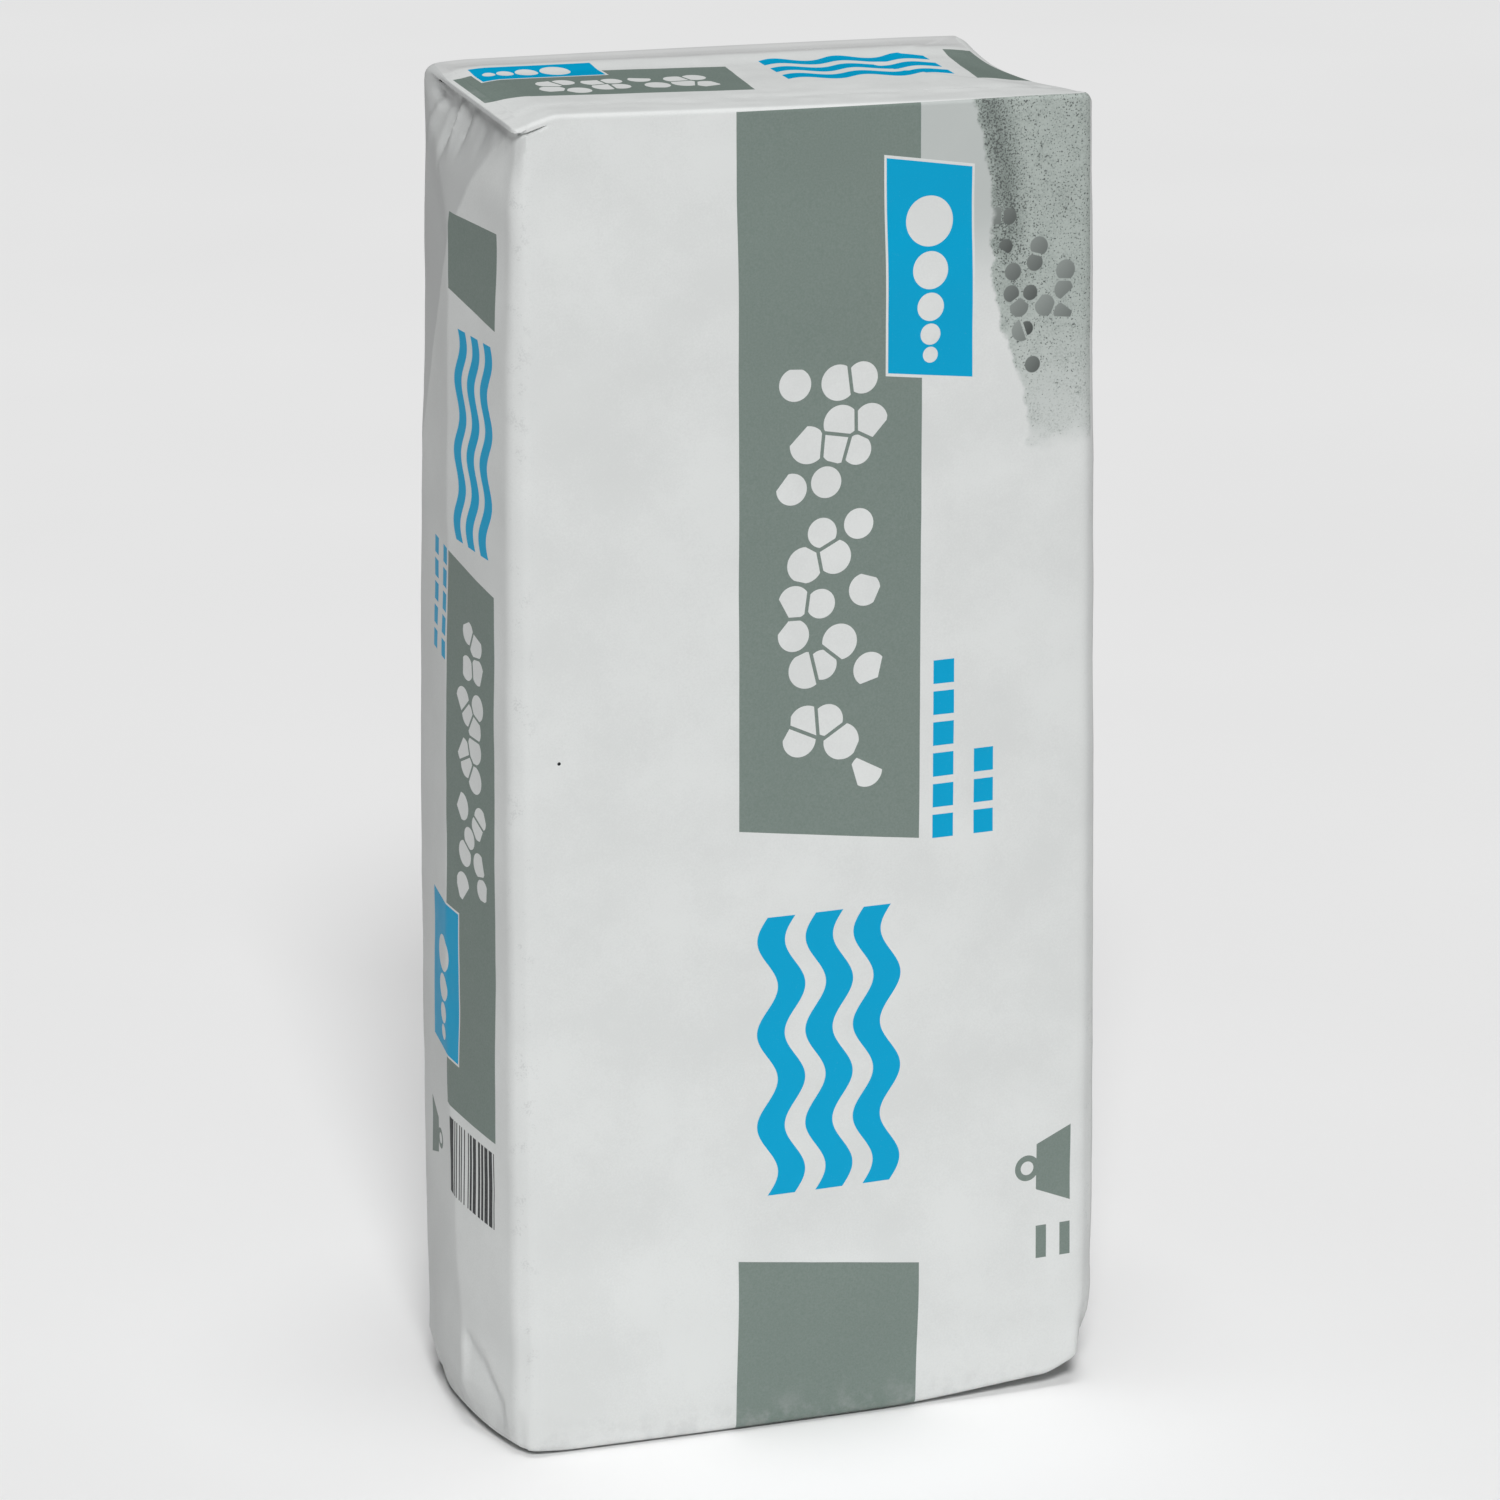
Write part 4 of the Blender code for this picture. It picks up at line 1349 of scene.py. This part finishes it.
def concrete_picture(noises, x, z):
    """(mask, colour) of the picture of concrete."""
    wobble = noises.patches - 0.5
    below_top = PICTURE_TOP - z
    foot = (z - PICTURE_FOOT + wobble * 0.010).rise(0.0, 0.012)
    mask = foot * (x > FRONT_BAND_X[1]) * (z < on_line(x, FRONT_TOP_EDGE))
    line = LINE_X + below_top * LINE_SLANT + LINE_BEND * (below_top * 60.0).wave()
    from_line = x - line + wobble * 0.008 + (noises.blotches - 0.5) * 0.012
    beyond = from_line.rise(0.0, 0.0025)
    low = 1.0 - z.rise(0.400, 0.470)
    zone = (1.0 - abs(from_line - 0.0085) * 90.0).most(0.0) * z.rise(0.460, 0.495)
    ground = 0.18 + zone + 1.6 * (noises.fibres - 0.5) + 1.2 * wobble - 0.20 * low
    speck = (noises.fibres - (0.62 - 0.12 * zone + 0.08 * low)).rise(0.0, 0.06)
    sand = ground.most(0.0).least(1.0).colour(low.colour(SAND_LIGHT, SAND_PALE), SAND_MID)
    sand = speck.colour(sand, SAND_DARK)
    stones, tone = scattered_stones(x, z)
    sand = stones.colour(sand, tone.colour(STONE_DARK, STONE_LIGHT))
    wash = z.rise(0.455, 0.500)
    return mask * beyond.most(wash), beyond.colour(WASH_GREY, sand)


print("picture mm high", round((PICTURE_TOP - PICTURE_FOOT) * 1000, 1))

# %% [markdown]
# ## Paper
#
# The sack paper is a bleached, lightly coated kraft. Close up it has short fibres, from further
# away faint blotches, and it scuffs grey where it rubs on other sacks. The fibres and the soft
# crumple go to a Bump node in metres; the larger dents are already in the mesh.

# %% Paper finish
PAPER_LIGHT = tuple(1.025 * value for value in PAPER_WHITE) + (1.0,)
PAPER_DARK = tuple(0.955 * value for value in PAPER_WHITE) + (1.0,)
# Grey of the painted shade on the top's back fold behind the ridge.
SHADE_BEHIND_RIDGE = (0.560, 0.560, 0.560, 1.0)
SOILED_PAPER = (0.560, 0.565, 0.555, 1.0)
PAPER_NOISES = {"fibres": (1300.0, 1.0, 0.6), "patches": (130.0, 3.0, 0.6), "blotches": (26.0, 1.0)}
CRUMPLE = 0.00022
SLEEVE_CRUMPLE = 0.00010
FIBRE_RELIEF = 0.000012


class PaperNoise:
    """The three noises that all effects on one paper share: fibres, patches and broad blotches."""

    def __init__(self, place):
        for name, settings in PAPER_NOISES.items():
            setattr(self, name, place.noise(*settings))


def paper_ground(noises, light, dark):
    """Bare paper: fibres and faint blotches between two tones."""
    mottle = noises.blotches * 0.5 + noises.patches * 0.2 + noises.fibres * 0.3
    return mottle.rise(0.36, 0.64).colour(dark, light)


def finish_paper(shader, place, noises, colour, inked, crumple=CRUMPLE):
    """Connects a paper's colour, gloss and relief; printed paper is a little glossier."""
    plug(colour, shader.inputs["Base Color"])
    plug(0.50 - 0.10 * inked + 0.16 * noises.patches, shader.inputs["Roughness"])
    height = (place.noise(38.0, 2.0) - 0.5) * crumple + (noises.patches - 0.5) * (crumple * 0.22)
    height = height + (noises.fibres - 0.5) * FIBRE_RELIEF
    sockets = {"Strength": 1.0, "Distance": 1.0, "Height": height}
    plug(place.node("ShaderNodeBump", {}, sockets), shader.inputs["Normal"])
    shader.inputs["IOR"].default_value = 1.45
    shader.inputs["Specular IOR Level"].default_value = 0.15


def start_paper(name):
    """A material whose colour is still bare paper: (material, shader, place, noises, colour)."""
    material, shader, place = start_material(name)
    noises = PaperNoise(place)
    return material, shader, place, noises, paper_ground(noises, PAPER_LIGHT, PAPER_DARK)


print("paper tones", [round(value, 3) for value in PAPER_LIGHT[:3] + PAPER_DARK[:3]])

# %% [markdown]
# Ink sinks into paper unevenly, and sacks come dusty from the filling nozzle and rub on each other
# on the pallet. The narrow side under the lip also gets painted shade: its upper triangle and its
# upper rear are darkened in colour. All are masks over the same noises, so they agree from one
# region to the next.

# %% Ink, wear and painted shade
INK_STRENGTHS = (0.99, 1.05)
THIN_INK = 0.10
MOUTH_DUST_X = -0.1185
LIP_SHADE_FRONT_Y = -0.0650
LIP_SHADE_TOP = 0.0059
LIP_SHADE_SLANT = 0.691
LIP_SHADE_BEND = 10.2


def soft_ink(mask, noises, strength):
    """Ink with the thin places that a press leaves."""
    return mask * (strength - THIN_INK + 0.14 * noises.fibres)


def print_inks(colour, masks, noises):
    for mask, strength, ink in zip(masks, INK_STRENGTHS, (BAND_GREEN, BOX_BLUE)):
        colour = soft_ink(mask, noises, strength).colour(colour, ink)
    return colour


def painted_lip_shade(y, z, noises):
    """Painted shade below the lip on the narrow side, down to the slanted crease."""
    drop = HEIGHT - z
    from_front = y - LIP_SHADE_FRONT_Y
    crease = LIP_SHADE_TOP + LIP_SHADE_SLANT * from_front + LIP_SHADE_BEND * from_front * (y + 0.0200)
    lip_shade = (crease - drop + (noises.patches - 0.5) * 0.006).rise(0.0, 0.005)
    lip_shade = lip_shade * (1.0 - drop.rise(0.070, 0.260))
    return lip_shade * (1.0 - y.rise(0.045, 0.058)) * (0.36 + 0.20 * noises.blotches)


def wear(colour, place, noises):
    """Scuffs on the upright edges, dust at the foot and dust under the mouth of the valve."""
    x, y, z = place.parts()
    rubbed = abs(x).rise(0.112, 0.124) * abs(y).rise(0.048, 0.060)
    scuffs = rubbed * (noises.patches * 0.6 + noises.fibres * 0.4).rise(0.54, 0.66) * 0.35
    foot_dust = (1.0 - z.rise(0.001, 0.022)) * noises.patches.rise(0.42, 0.70) * 0.30
    mouth_dust = (x < MOUTH_DUST_X) * z.rise(0.520, 0.546) * noises.patches.rise(0.45, 0.72) * 0.25
    return either(scuffs, foot_dust, mouth_dust).colour(colour, DUST_AND_SHADE_GREY)


def printed_top(colour, place, noises):
    """(colour, inks) of the top and of the strip on it, with painted shade on the back fold."""
    x, y, _ = place.parts()
    inks = top_print(x, y)
    # Painted shade: the back fold behind the ridge is greyed as if turned away from the light.
    shaded_behind = (y - BACK_RIDGE_Y + (noises.patches - 0.5) * 0.008).rise(0.0, 0.003)
    return print_inks((shaded_behind * 0.55).colour(colour, SHADE_BEHIND_RIDGE), inks, noises), inks


print("ink strengths", INK_STRENGTHS)

# %% [markdown]
# The skin gets one paper for each region, so that every point works out only its own print: the
# broad faces, the narrow sides, the top, and the bare foot. All four start and end alike, so no
# seam shows where they meet at the rounded edges.

# %% Printed sack papers
PRINT_SPECKS = ((-0.1081, 0.2896), (0.1213, 0.2866))
SPECK_RADIUS = 0.0007

face_paper, shader, place, noises, colour = start_paper("printed_face_paper")
x, y, z = place.parts()
on_front = y < 0.0
inks = front_print(x * (on_front * 2.0 - 1.0), z)
picture, concrete = concrete_picture(noises, x, z)
boxed = front_box(x, z)[0]
colour = (picture * on_front * (1.0 - boxed) * 0.96).colour(colour, concrete)
colour = wear(print_inks(colour, inks, noises), place, noises)
specks = either(*[disc(x, z, speck, SPECK_RADIUS) for speck in PRINT_SPECKS]) * on_front
finish_paper(shader, place, noises, specks.colour(colour, BAR_BLACK), either(*inks))

side_paper, shader, place, noises, colour = start_paper("printed_side_paper")
x, y, z = place.parts()
on_left = x < 0.0
inks = side_print(y * (on_left * 2.0 - 1.0), z)
colour = wear(print_inks(colour, inks, noises), place, noises)
colour = soft_ink(till_bars(y, z) * on_left, noises, 0.97).colour(colour, BAR_BLACK)
# Painted shade: the side's upper triangle under the lip and its upper rear are darkened in colour.
colour = (painted_lip_shade(y, z, noises) * on_left * (1.0 - inks[0])).colour(colour, DUST_AND_SHADE_GREY)
finish_paper(shader, place, noises, colour, either(*inks))

top_paper, shader, place, noises, colour = start_paper("printed_top_paper")
colour, inks = printed_top(colour, place, noises)
finish_paper(shader, place, noises, wear(colour, place, noises), either(*inks))

foot_paper, shader, place, noises, colour = start_paper("bare_foot_paper")
finish_paper(shader, place, noises, wear(colour, place, noises), noises.patches * 0.2)

for paper in (face_paper, side_paper, top_paper, foot_paper):
    skin.data.materials.append(paper)
    print(paper.name, "nodes", len(paper.node_tree.nodes))
skin.data.polygons.foreach_set("material_index", skin_regions(across, along, len(rings)))
skin.data.update()

# %% [markdown]
# The strips are cut from the same papers: the top one carries the top's print, and the bottom one
# is bare and picks up dirt from the floor. The sleeve is plain brown kraft, whose fibres run along
# the tube, so the noise is stretched that way.

# %% Strip and sleeve papers
KRAFT_DARK = (0.270, 0.180, 0.100, 1.0)
KRAFT_LIGHT = (0.420, 0.300, 0.185, 1.0)

strip_paper, shader, place, noises, colour = start_paper("top_strip_paper")
colour, inks = printed_top(colour, place, noises)
finish_paper(shader, place, noises, colour, either(*inks))
top_strip.data.materials.append(strip_paper)

soiled_paper, shader, place = start_material("bottom_strip_paper")
noises = PaperNoise(place)
dirt = noises.patches.rise(0.48, 0.72) * 0.5
colour = dirt.colour(paper_ground(noises, PAPER_DARK, SOILED_PAPER), DUST_AND_SHADE_GREY)
finish_paper(shader, place, noises, colour, dirt)
bottom_strip.data.materials.append(soiled_paper)

sleeve_paper, shader, place = start_material("brown_sleeve_paper")
x, y, z = place.parts()
noises = PaperNoise(place)
stretched = place.node("ShaderNodeCombineXYZ", {}, {0: x * 0.15, 1: y, 2: z})
noises.fibres = stretched.noise(900.0, 3.0, 0.65)
colour = noises.fibres.rise(0.35, 0.65).colour(KRAFT_DARK, KRAFT_LIGHT)
dusty = (1.0 - (x + 0.1203).rise(0.0, 0.012)) * noises.patches.rise(0.45, 0.7) * 0.5
finish_paper(shader, place, noises, dusty.colour(colour, DUST_AND_SHADE_GREY), dusty, SLEEVE_CRUMPLE)
sleeve.data.materials.append(sleeve_paper)
for paper in (strip_paper, soiled_paper, sleeve_paper):
    print(paper.name, "nodes", len(paper.node_tree.nodes))

# %% [markdown]
# ## Floor and light
#
# The photograph is a plain studio shot on a pale floor. The front is brightest, the top a little
# less so, and the narrow side darker, so two wide distant lights do: one high in front of the
# broad face, a little to its left, and one overhead. Lamps close to the sack would leave the far
# floor dark.

# %% Stage
FLOOR_Z = -0.0002
FLOOR_TONES = ((0.86, 0.86, 0.86, 1.0), (0.90, 0.90, 0.90, 1.0))

floor_mesh = bpy.data.meshes.new("studio_floor")
corners = [(x, y, FLOOR_Z) for x, y in ((-9, -9), (9, -9), (9, 9), (-9, 9))]
floor_mesh.from_pydata(corners, [], [(0, 1, 2, 3)])
studio_floor = add_object("studio_floor", floor_mesh)
studio_floor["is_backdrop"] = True
floor_paint, shader, place = start_material("studio_floor_paint")
plug(place.noise(3.0, 2.0).colour(*FLOOR_TONES), shader.inputs["Base Color"])
shader.inputs["Roughness"].default_value = 0.9
floor_mesh.materials.append(floor_paint)

surroundings = bpy.data.worlds.new("studio")
surroundings.use_nodes = True
sky = surroundings.node_tree.nodes["Background"]
sky.inputs["Color"].default_value = (1.0, 1.0, 1.0, 1.0)
sky.inputs["Strength"].default_value = 0.0
bpy.context.scene.world = surroundings
bpy.context.scene.view_settings.view_transform = "Standard"


def wide_light(name, azimuth, elevation, spread, strength):
    """A distant light as wide as spread degrees, whose rays come from an azimuth and elevation."""
    away = direction(azimuth, elevation)
    light = bpy.data.lights.new(name, "SUN")
    light.angle = math.radians(spread)
    light.energy = strength
    lamp = add_object(name, light)
    lamp.location = Vector((0.0, 0.0, HEIGHT / 2.0)) + 2.0 * away
    lamp.rotation_euler = away.to_track_quat("Z", "Y").to_euler()


wide_light("key", -18.0, 40.0, 14.0, 2.27)
wide_light("overhead", 0.0, 86.0, 24.0, 1.41)

# %% [markdown]
# ## Check the size and finish
#
# The skin must keep the size of the solids. The box of everything shown is set against the box of
# the solids, and the difference is printed.

# %% Compare and finish
bpy.context.view_layer.update()
shown_low, shown_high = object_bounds()
grown = (shown_high - shown_low) - (cad_high - cad_low)
print("shown minus solids mm", [round(v * 1000, 2) for v in grown])
